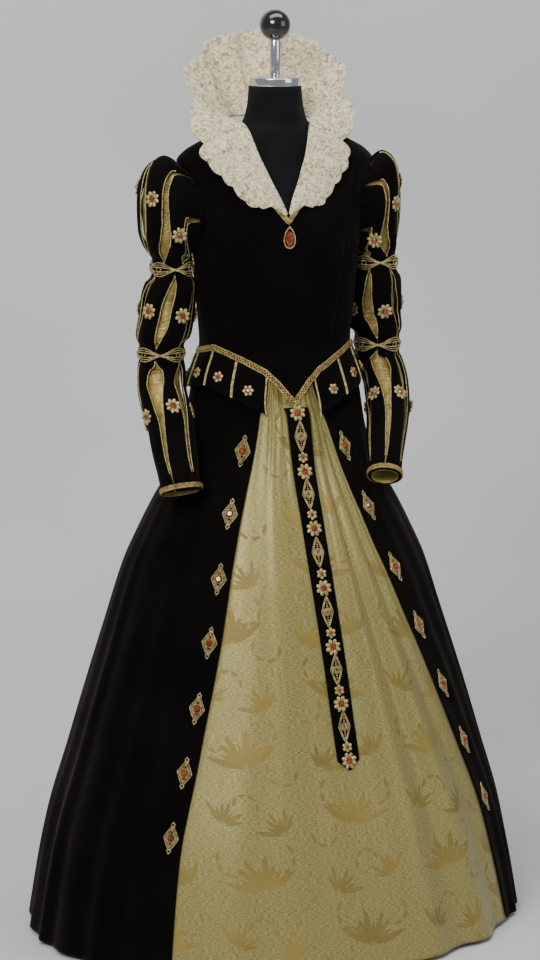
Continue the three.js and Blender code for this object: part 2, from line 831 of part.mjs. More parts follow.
addPiece('overskirt_right', wall(overskirtRight, velvetThickness), 'velvet');
addPiece('overskirt_left', wall(overskirtLeft, velvetThickness), 'velvet');
addPiece('overskirt_back', wall(overskirtBack, velvetThickness), 'velvet');

// The forepart shows between the overskirt's edges and runs on under them
const forepartFolds = [-4, -4, 5, -2, 6, -1, -1, -1, 6, -3, 8, -2, -4, -4];

function forepartGrid() {
  const right = alongSkirt(rightEdge, 0);
  const left = alongSkirt(leftEdge, 0);
  const girdleRight = alongSkirt(girdleLine, -girdleWidth / 2);
  const girdleMiddle = alongSkirt(girdleLine, 0);
  const girdleLeft = alongSkirt(girdleLine, girdleWidth / 2);
  const columns = [
    alongSkirt(rightEdge, -forepartUnderlap),
    right,
    ...[0.3, 0.55, 0.8].map((share) => between(right, girdleRight, share)),
    girdleRight,
    girdleMiddle,
    girdleLeft,
    ...[0.2, 0.4, 0.6, 0.8].map((share) => between(girdleLeft, left, share)),
    left,
    alongSkirt(leftEdge, forepartUnderlap),
  ];
  const flat = -1;
  return skirtGrid(columns, (angle, z, index) => {
    const fold = forepartFolds[index];
    return fold === forepartSink ? fold : flat + (fold - flat) * Math.max(1 - z / pleatTop, 0.15);
  });
}

const forepart = forepartGrid();
addPiece('forepart', wall(forepart, satinThickness), 'damask');

// The girdle: a velvet strip down the forepart with a chain of gilt pieces on it

function rowAt(grid, column, z) {
  const above = grid.findIndex((row) => row[column].z >= z);
  if (above === 0) return 0;
  if (above < 0) return grid.length - 1;
  const low = grid[above - 1][column].z;
  const high = grid[above][column].z;
  return above - 1 + (z - low) / (high - low);
}

const girdle = { middle: 6, tipZ: 341, shoulderZ: 358, topZ: 934 };

function stripGrid(grid, columns, middle, height) {
  const normals = gridNormals(grid, false);
  const levels = [girdle.shoulderZ, ...skirtRowHeights.filter((z) => z > 400), girdle.topZ];
  return levels.map((z, level) => columns.map((column) => {
    const isTip = level === 0 && column === middle;
    const row = rowAt(grid, middle, isTip ? girdle.tipZ : z);
    return gridPoint(grid, normals, row, column, height);
  }));
}

const girdleColumns = [girdle.middle - 1, girdle.middle, girdle.middle + 1];
const girdleGrid = stripGrid(forepart, girdleColumns, girdle.middle, seatHeight + velvetThickness);
addPiece('girdle_band', wall(girdleGrid, velvetThickness), 'velvet');

const chain = { rosetteRadius: 14.5, ovalWidth: 24, ovalLength: 48, flowerRadius: 10, linkWidth: 7 };
const rosetteHeights = [929, 831, 739, 643, 546, 452, 358];

// The chain as one strip whose half width and height rise at each rosette, oval and little flower
function chainRows() {
  const lens = (z, halfWidth, halfLength, rise) => [
    [z + halfLength, chain.linkWidth / 2, 1.6],
    [z + halfLength * 0.45, halfWidth, rise],
    [z - halfLength * 0.45, halfWidth, rise],
  ];
  const radius = chain.rosetteRadius;
  const rows = rosetteHeights.flatMap((z, i) => {
    const rosette = lens(z, radius, radius, 5);
    if (i === rosetteHeights.length - 1) return [...rosette, [z - radius, 4, 1.6]];
    const step = z - rosetteHeights[i + 1];
    const oval = lens(z - 0.4 * step, chain.ovalWidth / 2, chain.ovalLength / 2, 3);
    const small = lens(z - 0.76 * step, chain.flowerRadius, chain.flowerRadius, 4);
    return [...rosette, ...oval, ...small];
  });
  return rows.reverse();
}

function buildChain() {
  const normals = gridNormals(girdleGrid, false);
  const grid = chainRows().map(([z, halfWidth, rise]) => {
    const row = Math.max(rowAt(girdleGrid, 1, z), 0.01);
    const reach = (2 * halfWidth) / girdleWidth;
    const base = seatHeight + 1;
    return [[1 - reach, base], [1, base + rise], [1 + reach, base]].map(([column, height]) => (
      gridPoint(girdleGrid, normals, row, column, height)
    ));
  });
  const foot = chainRows().map(([z, halfWidth]) => {
    const row = Math.max(rowAt(girdleGrid, 1, z), 0.01);
    const reach = (2 * halfWidth) / girdleWidth;
    return [1 - reach, 1, 1 + reach].map((column) => gridPoint(girdleGrid, normals, row, column, seatHeight));
  });
  return wallBetween(grid, foot, {});
}

addPiece('girdle_chain', buildChain(), 'braid');

// Brooches down both edges of the overskirt

const broochHeights = [867, 765, 661, 557, 449, 343, 236];
const broochOutline = [
  [13.5, 0], [6.5, 13], [0, 28.5], [-6.5, 13], [-13.5, 0], [-6.5, -13], [0, -28.5], [6.5, -13],
];
const stoneRadius = 6.5;
const broochSeat = 0.8;

const stoneOutline = broochOutline.map((_, k) => {
  const turn = (2 * Math.PI * k) / broochOutline.length;
  return [stoneRadius * Math.cos(turn), stoneRadius * Math.sin(turn)];
});

function addBrooches(grid, column, side) {
  broochHeights.forEach((z, i) => {
    const place = placeOn(grid, rowAt(grid, column, z), column);
    const brooch = applique(place, [
      { outline: broochOutline, height: broochSeat },
      { outline: stoneOutline, height: 3 },
    ], 6);
    addPiece(`brooch_${side}_${i + 1}`, brooch, 'braid');
  });
}

addBrooches(overskirtRight, overskirtRight[0].length - 2, 'right');
addBrooches(overskirtLeft, 1, 'left');

// The peplum: square tabs hung from the waist, each with a flower

const tab = { frontRight: 18, frontLeft: 15, backAngle: 179.7, lengthFront: 62, lengthBack: 48, flare: 8 };
const tabSlit = 0.48;

function peplumGrid(sign) {
  const front = sign < 0 ? tab.frontRight : tab.frontLeft;
  const pitch = (tab.backAngle - front) / tabCount;
  const angles = Array.from({ length: tabCount }, (_, i) => {
    const start = front + i * pitch;
    return [start + tabSlit, start + pitch / 2, start + pitch - tabSlit];
  }).flat();
  if (sign < 0) angles.reverse();
  const lift = velvetThickness + 1.5;
  const rows = [[1, tab.flare], [0.5, tab.flare * 0.6], [0, 0]];
  return rows.map(([drop, flare]) => angles.map((angle, i) => {
    const top = seamHeight(angle) - braidReach - 1.2;
    const length = mix(tab.lengthFront, tab.lengthBack, angle / 180);
    const crown = i % 3 === 1 ? 2.5 * drop : 0;
    return sectionPoint(sign * angle, top - drop * length, lift + flare + crown);
  }));
}

function buildPeplum(sign) {
  const grid = peplumGrid(sign);
  const isOpen = (row, column) => row === 0 && column % 3 === 2;
  const flowers = Array.from({ length: tabCount }, (_, i) => (
    flower(placeOn(grid, 0.75, 3 * i + 1), chain.flowerRadius, 6, sunkHeight)
  ));
  return joined(wall(grid, velvetThickness, { isOpen }), flowers);
}

addPiece('peplum_right', buildPeplum(-1), 'velvet');
addPiece('peplum_left', buildPeplum(1), 'velvet');

// The sleeves: each made on the left arm's side and mirrored for the right arm

const bandLevels = { upper: 1171, lower: 1025 };
const levelReach = 30;
const shoulderClearance = 2.2;

function ringOfPuff(side, { innerX, innerZ, rightX, leftX, outerZ, depth, liningGap, turn }) {
  const inner = new THREE.Vector3(innerX, 0, innerZ);
  const outer = new THREE.Vector3(side === 'right' ? rightX : leftX, 0, outerZ);
  const centre = inner.clone().lerp(outer, 0.5);
  const radius = inner.distanceTo(outer) / 2;
  const across = outer.clone().sub(inner).normalize();
  const back = new THREE.Vector3(0, 1, 0);
  return { centre, across, back, radius, depth, liningGap, turn };
}

function ringOfArm(side, { z, radius, liningGap }) {
  const centreAt = (height) => new THREE.Vector3(
    lookUp(armLines, 'z', height, `${side}X`),
    lookUp(armLines, 'z', height, `${side}Y`),
    height,
  );
  const isLevel = Object.values(bandLevels).some((level) => Math.abs(level - z) < levelReach);
  const up = isLevel ? new THREE.Vector3(0, 0, 1) : centreAt(z + 12).sub(centreAt(z - 12)).normalize();
  const across = new THREE.Vector3(1, 0, 0).addScaledVector(up, -up.x).normalize();
  const back = up.clone().cross(across);
  return { centre: centreAt(z), across, back, radius, depth: radius, liningGap, turn: 0 };
}

function ringPoint(ring, angle, shrink = 0) {
  const turn = radians(angle);
  const point = ring.centre.clone()
    .addScaledVector(ring.across, (ring.radius - shrink) * Math.cos(turn))
    .addScaledVector(ring.back, (ring.depth - shrink) * Math.sin(turn));
  if (ring.onBody) {
    const side = lookUp(sections, 'z', point.z, 'side');
    const depth = lookUp(sections, 'z', point.z, point.y < 0 ? 'front' : 'back');
    point.x = side * Math.sqrt(1 - (point.y / depth) ** 2) + shoulderClearance;
  }
  return point;
}

function sleeveRings(side) {
  const upper = puffRings.map((row) => ringOfPuff(side, row));
  upper[upper.length - 1].onBody = true;
  return {
    upper,
    middle: middleRings.map((row) => ringOfArm(side, row)),
    lower: lowerRings.map((row) => {
      const z = mix(cuffHeights[side], lowerTop, row.share);
      return ringOfArm(side, { z, radius: row[side], liningGap: row.liningGap });
    }),
  };
}

function slashedGrid(rings, style, side, firstPane, paneCount) {
  const pitch = 360 / style.count;
  const boundaryHalf = 0.85;
  const slashHalf = 1.1;
  return rings.map((ring, r) => {
    const lean = ring.turn + style.lean * (1 - (2 * r) / (rings.length - 1));
    const degreesPerMillimetre = 360 / (Math.PI * (ring.radius + ring.depth));
    return Array.from({ length: paneCount }, (_, p) => {
      const start = style[side] + lean + (firstPane + p) * pitch;
      const halfOf = (isBoundary) => Math.max(style.widths[r] / 2, isBoundary ? boundaryHalf : slashHalf);
      const before = halfOf(p === 0) * degreesPerMillimetre;
      const after = halfOf(p === paneCount - 1) * degreesPerMillimetre;
      const angles = [start + before, start + pitch / 2, start + pitch - after];
      return angles.map((angle) => ringPoint(ring, angle));
    }).flat();
  });
}

function slashedHalf(rings, style, side, firstPane, paneCount, flowerRow) {
  const grid = slashedGrid(rings, style, side, firstPane, paneCount);
  const isOpen = (row, column) => column % 3 === 2 && row > 0 && row < rings.length - 2;
  const paneLength = (column) => grid[1][column].distanceTo(grid[rings.length - 2][column]);
  const middleColumns = Array.from({ length: paneCount }, (_, p) => 3 * p + 1);
  const longColumns = middleColumns.filter((column) => paneLength(column) > shortestFloweredPane);
  const flowers = longColumns.map((column) => (
    flower(placeOn(grid, flowerRow, column), chain.rosetteRadius, 7, sunkHeight)
  ));
  return joined(wall(grid, velvetThickness, { isOpen }), flowers);
}

function bandRing(centreX, centreY, z, radius) {
  const halfHeights = [4, 9, 12.5, 9];
  const count = 16;
  const edge = (sign) => Array.from({ length: count }, (_, i) => {
    const turn = (2 * Math.PI * i) / count;
    const height = z + sign * halfHeights[i % halfHeights.length];
    return new THREE.Vector3(centreX + radius * Math.cos(turn), centreY + radius * Math.sin(turn), height);
  });
  return wall([edge(-1), edge(1)], braidThickness, { round: true });
}

const bandClearance = 1.3;
const cuffLifts = { right: [1, 9], left: [1, 6] };
const shortestFloweredPane = 80;
const sleeveSplits = { upper: [3, 3], middle: [3, 2], lower: [3, 2] };
const flowerRows = { upper: 4.6, middle: 3.6, lower: 3.6 };

function buildSleeve(side) {
  const turn = side === 'right' ? mirrored : (geometry) => geometry;
  const rings = sleeveRings(side);
  const lining = [...rings.lower, ...rings.middle.slice(1), ...rings.upper.slice(1)];
  const liningSides = 8;
  const liningGrid = lining.map((ring) => Array.from({ length: liningSides }, (_, i) => (
    ringPoint(ring, (360 * i) / liningSides, ring.liningGap)
  )));
  addPiece(`undersleeve_${side}`, turn(wall(liningGrid, satinThickness, { round: true })), 'satin');
  for (const stretch of ['upper', 'middle', 'lower']) {
    const [firstCount, secondCount] = sleeveSplits[stretch];
    const make = (first, count) => turn(
      slashedHalf(rings[stretch], slashes[stretch], side, first, count, flowerRows[stretch]),
    );
    addPiece(`sleeve_${stretch}_front_${side}`, make(0, firstCount), 'velvet');
    addPiece(`sleeve_${stretch}_back_${side}`, make(firstCount, secondCount), 'velvet');
  }
  for (const [level, z] of Object.entries(bandLevels)) {
    const x = lookUp(armLines, 'z', z, `${side}X`);
    const y = lookUp(armLines, 'z', z, `${side}Y`);
    const radius = (level === 'upper' ? 33.9 : 37.8) + bandClearance + braidThickness;
    addPiece(`sleeve_band_${level}_${side}`, turn(bandRing(x, y, z, radius)), 'braid');
  }
  const cuffRadius = lowerRings[0][side] + bandClearance + braidThickness;
  const cuffGrid = cuffLifts[side].map((lift) => {
    const ring = ringOfArm(side, { z: cuffHeights[side] + lift, radius: cuffRadius, liningGap: 0 });
    return Array.from({ length: 16 }, (_, i) => ringPoint(ring, (360 * i) / 16));
  });
  addPiece(`cuff_braid_${side}`, turn(wall(cuffGrid, braidThickness, { round: true })), 'braid');
}

buildSleeve('right');
buildSleeve('left');

export default gown;
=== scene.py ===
from bisect import bisect_right
from math import asin, copysign, cos, degrees, exp, hypot, pi, radians, sin, sqrt

import bmesh
import bpy
from mathutils import Euler, Matrix, Vector, noise


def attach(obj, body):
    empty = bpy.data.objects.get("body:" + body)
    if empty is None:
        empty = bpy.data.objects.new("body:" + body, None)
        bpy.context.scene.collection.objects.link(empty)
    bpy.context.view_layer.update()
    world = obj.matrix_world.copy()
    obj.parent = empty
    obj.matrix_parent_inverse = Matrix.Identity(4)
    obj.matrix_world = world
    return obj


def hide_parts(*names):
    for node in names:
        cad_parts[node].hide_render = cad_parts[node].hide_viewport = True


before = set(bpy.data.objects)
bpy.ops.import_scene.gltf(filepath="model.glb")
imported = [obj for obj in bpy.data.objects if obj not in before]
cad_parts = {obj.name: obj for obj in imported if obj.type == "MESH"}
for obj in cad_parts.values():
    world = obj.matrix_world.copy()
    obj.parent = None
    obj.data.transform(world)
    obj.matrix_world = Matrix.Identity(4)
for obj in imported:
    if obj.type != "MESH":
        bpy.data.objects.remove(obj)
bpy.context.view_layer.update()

MM = 0.001
FULL_TURN = 2 * pi
SIDES = ((-1, "right"), (1, "left"))
VELVET_WALL, SLEEVE_WALL, DAMASK_WALL, LACE_WALL, SATIN_WALL = 2.0, 1.8, 1.2, 1.6, 0.8
HEM = 8
NECK_SHIFT = -8
BRAID_REACH = 5.5
SIDE_SEAM = 100
PLEAT_TOP = 920
GIRDLE_HALF = 20
BROOCH_INSET = 20
BODICE_TOP, SIDE_TOP = 1413, 1382
FORM_BOTTOM, HIP_TOP, FORM_TOP = 800, 1010, 1476
# The level at which a panel's lines are read for its seam at the waist
SKIRT_SEAM_LEVEL, BODICE_SEAM_LEVEL = 1000, 1040

# Height, half width, depth in front and depth behind of the figure and the skirt
SECTIONS = [
    (0, 438, 350, 370), (124, 418, 333, 352), (214, 399, 318, 335), (327, 365, 292, 307),
    (420, 338, 270, 284), (537, 303, 242, 256), (653, 267, 211, 226), (700, 246, 193, 209),
    (760, 216, 170, 187), (800, 193, 153, 172), (850, 169, 136, 155), (900, 157, 125, 142),
    (950, 150, 114, 130), (1000, 140, 106, 114), (1040, 133, 102, 106), (1100, 138, 108, 104),
    (1190, 146, 116, 106), (1250, 152, 108, 106), (1300, 160, 92, 100), (1330, 167, 80, 94),
    (1352, 173, 70, 86), (1368, 160, 66, 80), (1383, 134, 62, 74), (1400, 100, 58, 68),
    (1415, 60, 54, 60), (1444, 49, 49, 49), (1476, 46, 46, 46),
]
# The waist seam: degrees from the front and height
WAIST_SEAM = [(0, 946), (11, 980), (20, 1000), (36, 1018), (50, 1029), (64, 1037), (97, 1024), (180, 1015)]
# The open edges and the girdle's middle line: height and degrees from the front
RIGHT_EDGE = [(0, -37.5), (191, -37.2), (373, -34.7), (594, -30.7), (809, -27.9), (943, -22), (1040, -17)]
LEFT_EDGE = [
    (0, 61), (134, 57.2), (274, 54), (398, 48.6), (516, 42.7), (602, 37.5),
    (700, 32.5), (843, 28), (900, 23.5), (976, 14.3), (1040, 10),
]
GIRDLE_LINE = [(0, 11), (350, 7.5), (530, 6), (655, 4.5), (820, 3.4), (925, 1.8), (946, 0), (1040, 0)]
# The form under the skirt: height, half width and half depth
FORM_HIPS = [
    (800, 150, 100), (815, 158, 108), (870, 156, 112), (930, 143, 104), (985, 130, 98), (1025, 124, 94),
]
# The bodice's seams and its neck: height and distance from the middle
PRINCESS_SEAM = [
    (940, 72), (1060, 80), (1118, 89), (1200, 98), (1240, 110), (1290, 118), (1370, 132), (1420, 142),
]
NECK_OPENING = [(1266, 0), (1317, 24), (1365, 45), (1412, 56), (1500, 58)]
ARMHOLE_SIDE, ARMHOLE_Z, ARMHOLE_HALF_HEIGHT, ARMHOLE_HALF_DEPTH = 105, 1267, 73, 46
# The bodice is open in front from the first height up, and all round the neck from the second
NECK_FRONT, NECK_ALL_ROUND, NECK_RADIUS = 1266, 1380, 66
# The form lies well under the cloth up to the chest, and bare from the neck up
CHEST_ROOM, SHOULDER_ROOM, NECK_ROOM = 6.2, 2.9, 1
CHEST_Z, SHOULDER_Z, NECK_Z = 1150, 1300, 1415


def mix(a, b, share):
    return a + (b - a) * share


def ease(share):
    share = min(max(share, 0), 1)
    return share * share * (3 - 2 * share)


def follow(rows, column=1, rounded=True):
    """A line through the rows' values in one column, by their first column."""
    keys = [row[0] for row in rows]
    values = [row[column] for row in rows]
    steps = [(values[i + 1] - values[i]) / (keys[i + 1] - keys[i]) for i in range(len(rows) - 1)]
    slopes = [steps[0]]
    for before, after in zip(steps, steps[1:]):
        same_way = before * after > 0
        slopes.append(2 * before * after / (before + after) if same_way else 0)
    slopes.append(steps[-1])

    def at(key):
        if key <= keys[0]:
            return values[0]
        if key >= keys[-1]:
            return values[-1]
        i = bisect_right(keys, key) - 1
        width = keys[i + 1] - keys[i]
        t = (key - keys[i]) / width
        if not rounded:
            return mix(values[i], values[i + 1], t)
        low = (1 + 2 * t) * (1 - t) ** 2 * values[i] + t * (1 - t) ** 2 * width * slopes[i]
        return low + t * t * (3 - 2 * t) * values[i + 1] + t * t * (t - 1) * width * slopes[i + 1]

    return at


def by_number(values, rounded=True):
    """A line through the values, by their number from 0."""
    return follow(list(enumerate(values)), 1, rounded)


side_at, front_at, back_at = [follow(SECTIONS, column) for column in (1, 2, 3)]
waist_at = follow(WAIST_SEAM, rounded=False)
right_edge_at = follow(RIGHT_EDGE)
left_edge_at = follow(LEFT_EDGE)
girdle_at = follow(GIRDLE_LINE)
princess_at = follow(PRINCESS_SEAM)
neck_at = follow(NECK_OPENING)


def seam_height(angle):
    turn = abs(angle)
    return waist_at(360 - turn if turn > 180 else turn)


def section_point(angle, z, out=0.0):
    turn = radians(angle)
    depth = front_at(z) if cos(turn) > 0 else back_at(z)
    return Vector(((side_at(z) + out) * sin(turn), -(depth + out) * cos(turn), z))


def ripple(x, y, z=0.0):
    """Uneven height between -1 and 1 that changes slowly."""
    return noise.noise(Vector((x, y, z)))


def along_skirt(edge, distance):
    """The angle that lies that far past the edge's angle, by height."""

    def at(z):
        angle = edge(z)
        turn = radians(angle)
        radius = side_at(z) * cos(turn) ** 2 + front_at(z) * sin(turn) ** 2
        return angle + degrees(distance / radius)

    return at


# Making meshes


def new_grid(bm, columns, rows):
    """A flat grid's vertices as rows, from the low side up and from left to right, and its faces."""
    made = bmesh.ops.create_grid(bm, x_segments=columns, y_segments=rows, size=0.5)
    levels = {}
    for vert in made["verts"]:
        levels.setdefault(round(vert.co.y, 5), []).append(vert)
    lines = [sorted(levels[level], key=lambda vert: vert.co.x) for level in sorted(levels)]
    return lines, list(dict.fromkeys(face for vert in made["verts"] for face in vert.link_faces))


def lay_map(bm, faces, place):
    """Gives each corner of the faces its vertex's place on the piece's own map."""
    uv = bm.loops.layers.uv.verify()
    for face in faces:
        for loop in face.loops:
            loop[uv].uv = place[loop.vert]


def add_object(name, data):
    item = bpy.data.objects.new(name, data)
    bpy.context.scene.collection.objects.link(item)
    return item


def finish_mesh(name, bm, materials):
    mesh = bpy.data.meshes.new(name)
    bm.to_mesh(mesh)
    bm.free()
    for material in materials:
        mesh.materials.append(material)
    for polygon in mesh.polygons:
        polygon.use_smooth = polygon.material_index == 0
    return add_object(name, mesh)


def add_piece(name, bm, materials, nodes):
    """Adds a piece that rides on the one body and stands for those nodes."""
    piece = finish_mesh(name, bm, materials)
    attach(piece, "root")
    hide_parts(*nodes)
    return piece


def add_sheet(name, bm, finish, nodes, wall, cut):
    """Adds a piece of cloth with a wall of that thickness; its cut, a little wider than it is worn where its
    area asks for it, is worked out but not used.
    """
    piece = add_piece(name, bm, [finish], nodes)
    shell = piece.modifiers.new("thickness", "SOLIDIFY")
    shell.thickness = wall * MM
    shell.offset = -1
    area, width, length = cut
    width = max(width, 1.01 * area / length)
    max(area, 0.31 * width * length)


def distances(points):
    total = [0.0]
    for a, b in zip(points, points[1:]):
        total.append(total[-1] + (b - a).length)
    return total


def add_cloth(bm, columns, rows, point, closed=False, is_open=None):
    """Adds one curved sheet, point(u, v) in millimetres; its map is in metres across and along."""
    bm.loops.layers.uv.verify()
    lines, faces = new_grid(bm, columns, rows)
    shares = [[(vert.co.x + 0.5, vert.co.y + 0.5) for vert in line] for line in lines]
    for line, share in zip(lines, shares):
        for vert, (u, v) in zip(line, share):
            vert.co = point(u, v) * MM
    place = {}
    ups = [distances([line[i].co for line in lines]) for i in range(len(lines[0]))]
    for j, line in enumerate(lines):
        across = distances([vert.co for vert in line])
        middle = across[len(across) // 2]
        for i, vert in enumerate(line):
            place[vert] = (across[i] - middle, ups[i][j])
    lay_map(bm, faces, place)
    area = sum(face.calc_area() for face in faces)
    if is_open:
        doomed = [face for face in faces if all(is_open(vert.co / MM) for vert in face.verts)]
        bmesh.ops.delete(bm, geom=doomed, context="FACES")
    if closed:
        edge = [vert for line in lines for vert in (line[0], line[-1]) if vert.is_valid]
        bmesh.ops.remove_doubles(bm, verts=edge, dist=1e-5)
    whole = [line for line in lines if all(vert.is_valid for vert in line)]
    widths = [distances([vert.co for vert in line])[-1] for line in whole]
    return area, max(widths) if widths else 0.1, max(up[-1] for up in ups)


def add_panels(bm, columns, rows, points):
    """Adds a sheet for each of the points: their area and width together, and the longest length."""
    areas, widths, lengths = zip(*[add_cloth(bm, columns, rows, point) for point in points])
    return sum(areas), sum(widths), max(lengths)


def cloth(name, columns, rows, point, finish, slot, nodes, wall, held="hung", on="form_torso", **more):
    bm = bmesh.new()
    cut = add_cloth(bm, columns, rows, point, **more)
    add_sheet(name, bm, finish, nodes, wall, cut)


def turned_piece(name, profile, finish, nodes, steps=64):
    """A hard piece spun about the stand's axis from the radius and height of each corner."""
    bm = bmesh.new()
    verts = [bm.verts.new((radius * MM, 0, z * MM)) for radius, z in profile]
    edges = [bm.edges.new(pair) for pair in zip(verts, verts[1:])]
    bmesh.ops.spin(
        bm, geom=verts + edges, cent=(0, 0, 0), axis=(0, 0, 1), angle=FULL_TURN, steps=steps, use_merge=True,
    )
    bmesh.ops.remove_doubles(bm, verts=bm.verts, dist=1e-6)
    bmesh.ops.recalc_face_normals(bm, faces=bm.faces)
    piece = add_piece(name, bm, [finish], nodes)
    bevel = piece.modifiers.new("rounded edges", "BEVEL")
    bevel.width = 0.6 * MM
    bevel.segments = 2
    bevel.limit_method = "ANGLE"
    bevel.angle_limit = radians(40)


STAMPS = {}


def put_in(bm, own):
    """Adds a small mesh that was made by itself, which is quicker than to make it in a large one."""
    mesh = bpy.data.meshes.new("small")
    own.to_mesh(mesh)
    own.free()
    bm.from_mesh(mesh)
    bpy.data.meshes.remove(mesh)


def stamp(bm, key, place, make):
    """Adds a copy of a small piece that is made once, round the origin."""
    if key not in STAMPS:
        own = bmesh.new()
        make(own, Matrix.Identity(4))
        STAMPS[key] = bpy.data.meshes.new("stamp")
        own.to_mesh(STAMPS[key])
        own.free()
    copy = STAMPS[key].copy()
    copy.transform(Matrix.Diagonal((MM, MM, MM, 1)) @ place @ Matrix.Diagonal((1 / MM, 1 / MM, 1 / MM, 1)))
    bm.from_mesh(copy)
    bpy.data.meshes.remove(copy)


def add_strand(into, points, normals, radius, sides=6, closed=False):
    """Adds a round cord along the points, which lie on a surface with those normals."""
    bm = bmesh.new()
    bm.loops.layers.uv.verify()
    if closed:
        points = [*points, points[0]]
        normals = [*normals, normals[0]]
    last = len(points) - 1
    lines, faces = new_grid(bm, sides, last)
    lengths = distances([point * MM for point in points])
    place = {}
    for j, line in enumerate(lines):
        before = points[(j - 1) % last] if closed else points[max(j - 1, 0)]
        after = points[(j + 1) % last] if closed else points[min(j + 1, last)]
        tangent = (after - before).normalized()
        side = tangent.cross(normals[j]).normalized()
        up = side.cross(tangent)
        for i, vert in enumerate(line):
            turn = FULL_TURN * i / sides
            vert.co = (points[j] + side * radius * cos(turn) - up * radius * sin(turn)) * MM
            place[vert] = (i / sides, lengths[j])
    lay_map(bm, faces, place)
    welded = [vert for line in lines for vert in (line[0], line[-1])]
    if closed:
        welded += lines[0] + lines[-1]
    bmesh.ops.remove_doubles(bm, verts=list(dict.fromkeys(welded)), dist=1e-5)
    put_in(into, bm)


def add_edge_cord(into, point, u, shares, height, radius, step):
    """Adds a cord along one side of a sheet, at those shares of its length and that far above it."""
    spots = [surface_frame(point, u, v, step) for v in shares]
    normals = [spot[3] for spot in spots]
    add_strand(into, [spot[0] + spot[3] * height for spot in spots], normals, radius)


def surface_frame(point, u, v, step=0.004):
    """The point and the directions across, along and out of a surface there."""
    across = (point(min(u + step, 1), v) - point(max(u - step, 0), v)).normalized()
    along = (point(u, min(v + step, 1)) - point(u, max(v - step, 0))).normalized()
    out = across.cross(along).normalized()
    return point(u, v), across, out.cross(across), out


def seat(origin, across, along, out):
    turn = Matrix((across, along, out)).transposed().to_4x4()
    return Matrix.Translation(origin) @ turn


def add_bead(bm, place, across, along, height, size, turn=0.0, segments=6):
    """Adds a rounded bead of that half width, half length and half height, in millimetres."""
    spot = place @ Matrix.Translation((across, along, height)) @ Matrix.Rotation(turn, 4, "Z")

    def make(own, _):
        bmesh.ops.create_uvsphere(own, u_segments=segments, v_segments=max(segments // 2 + 1, 5), radius=MM)

    stamp(bm, ("bead", segments), spot @ Matrix.Diagonal((*size, 1)), make)


def add_beads(bm, place, spots, size):
    for across, along, height in spots:
        add_bead(bm, place, across, along, height, size)


def ring_line(radius, height, along=0.0, count=20):
    """Points of a circle, as across, along and height on a place."""
    turns = [FULL_TURN * i / count for i in range(count)]
    return [(radius * cos(t), along + radius * sin(t), height) for t in turns]


def add_stone(into, place, half_width, half_length, base, height, segments=10):
    """Adds a cut stone: a girdle, a sloped crown and a flat table, with flat faces."""
    bm = bmesh.new()
    levels = [(0.92, base), (1.0, base + 0.3 * height), (0.62, base + height)]
    for (low_share, low), (high_share, high) in zip(levels, levels[1:]):
        spot = place @ Matrix.Translation((0, 0, (low + high) / 2))
        bmesh.ops.create_cone(
            bm, cap_ends=True, segments=segments, radius1=low_share, radius2=high_share, depth=high - low,
            matrix=Matrix.Diagonal((MM, MM, MM, 1)) @ spot @ Matrix.Diagonal((half_width, half_length, 1, 1)),
        )
    for face in bm.faces:
        face.material_index = 1
    put_in(into, bm)


def add_flower(bm, place, radius, petals, stone):
    def make(own, at):
        make_flower(own, at, radius, petals, stone)

    stamp(bm, ("flower", radius, petals, stone), place, make)


def make_flower(bm, place, radius, petals, stone):
    """A beaded flower: rounded petals in a ring, a ring of small beads, and a stone in the middle."""
    reach = 0.66 * radius
    half_length = min(pi * reach / petals * 0.98, 0.36 * radius)
    for k in range(petals):
        turn = FULL_TURN * (k + 0.5) / petals
        size = (0.34 * radius, half_length, 1.7)
        add_bead(bm, place, reach * cos(turn), reach * sin(turn), 1.2, size, turn, 8)
    add_beads(bm, place, ring_line(stone + 0.9, 2.4, 0.0, 12), (0.95, 0.95, 0.95))
    add_stone(bm, place, stone, stone, 1.4, 3.4)


def wire(bm, place, line, radius, sides=5):
    """Adds a closed wire along points given as across, along and height on a place."""
    out = (place.to_3x3() @ Vector((0, 0, 1))).normalized()
    add_strand(bm, [place @ Vector(spot) for spot in line], [out] * len(line), radius, sides, True)


# Materials


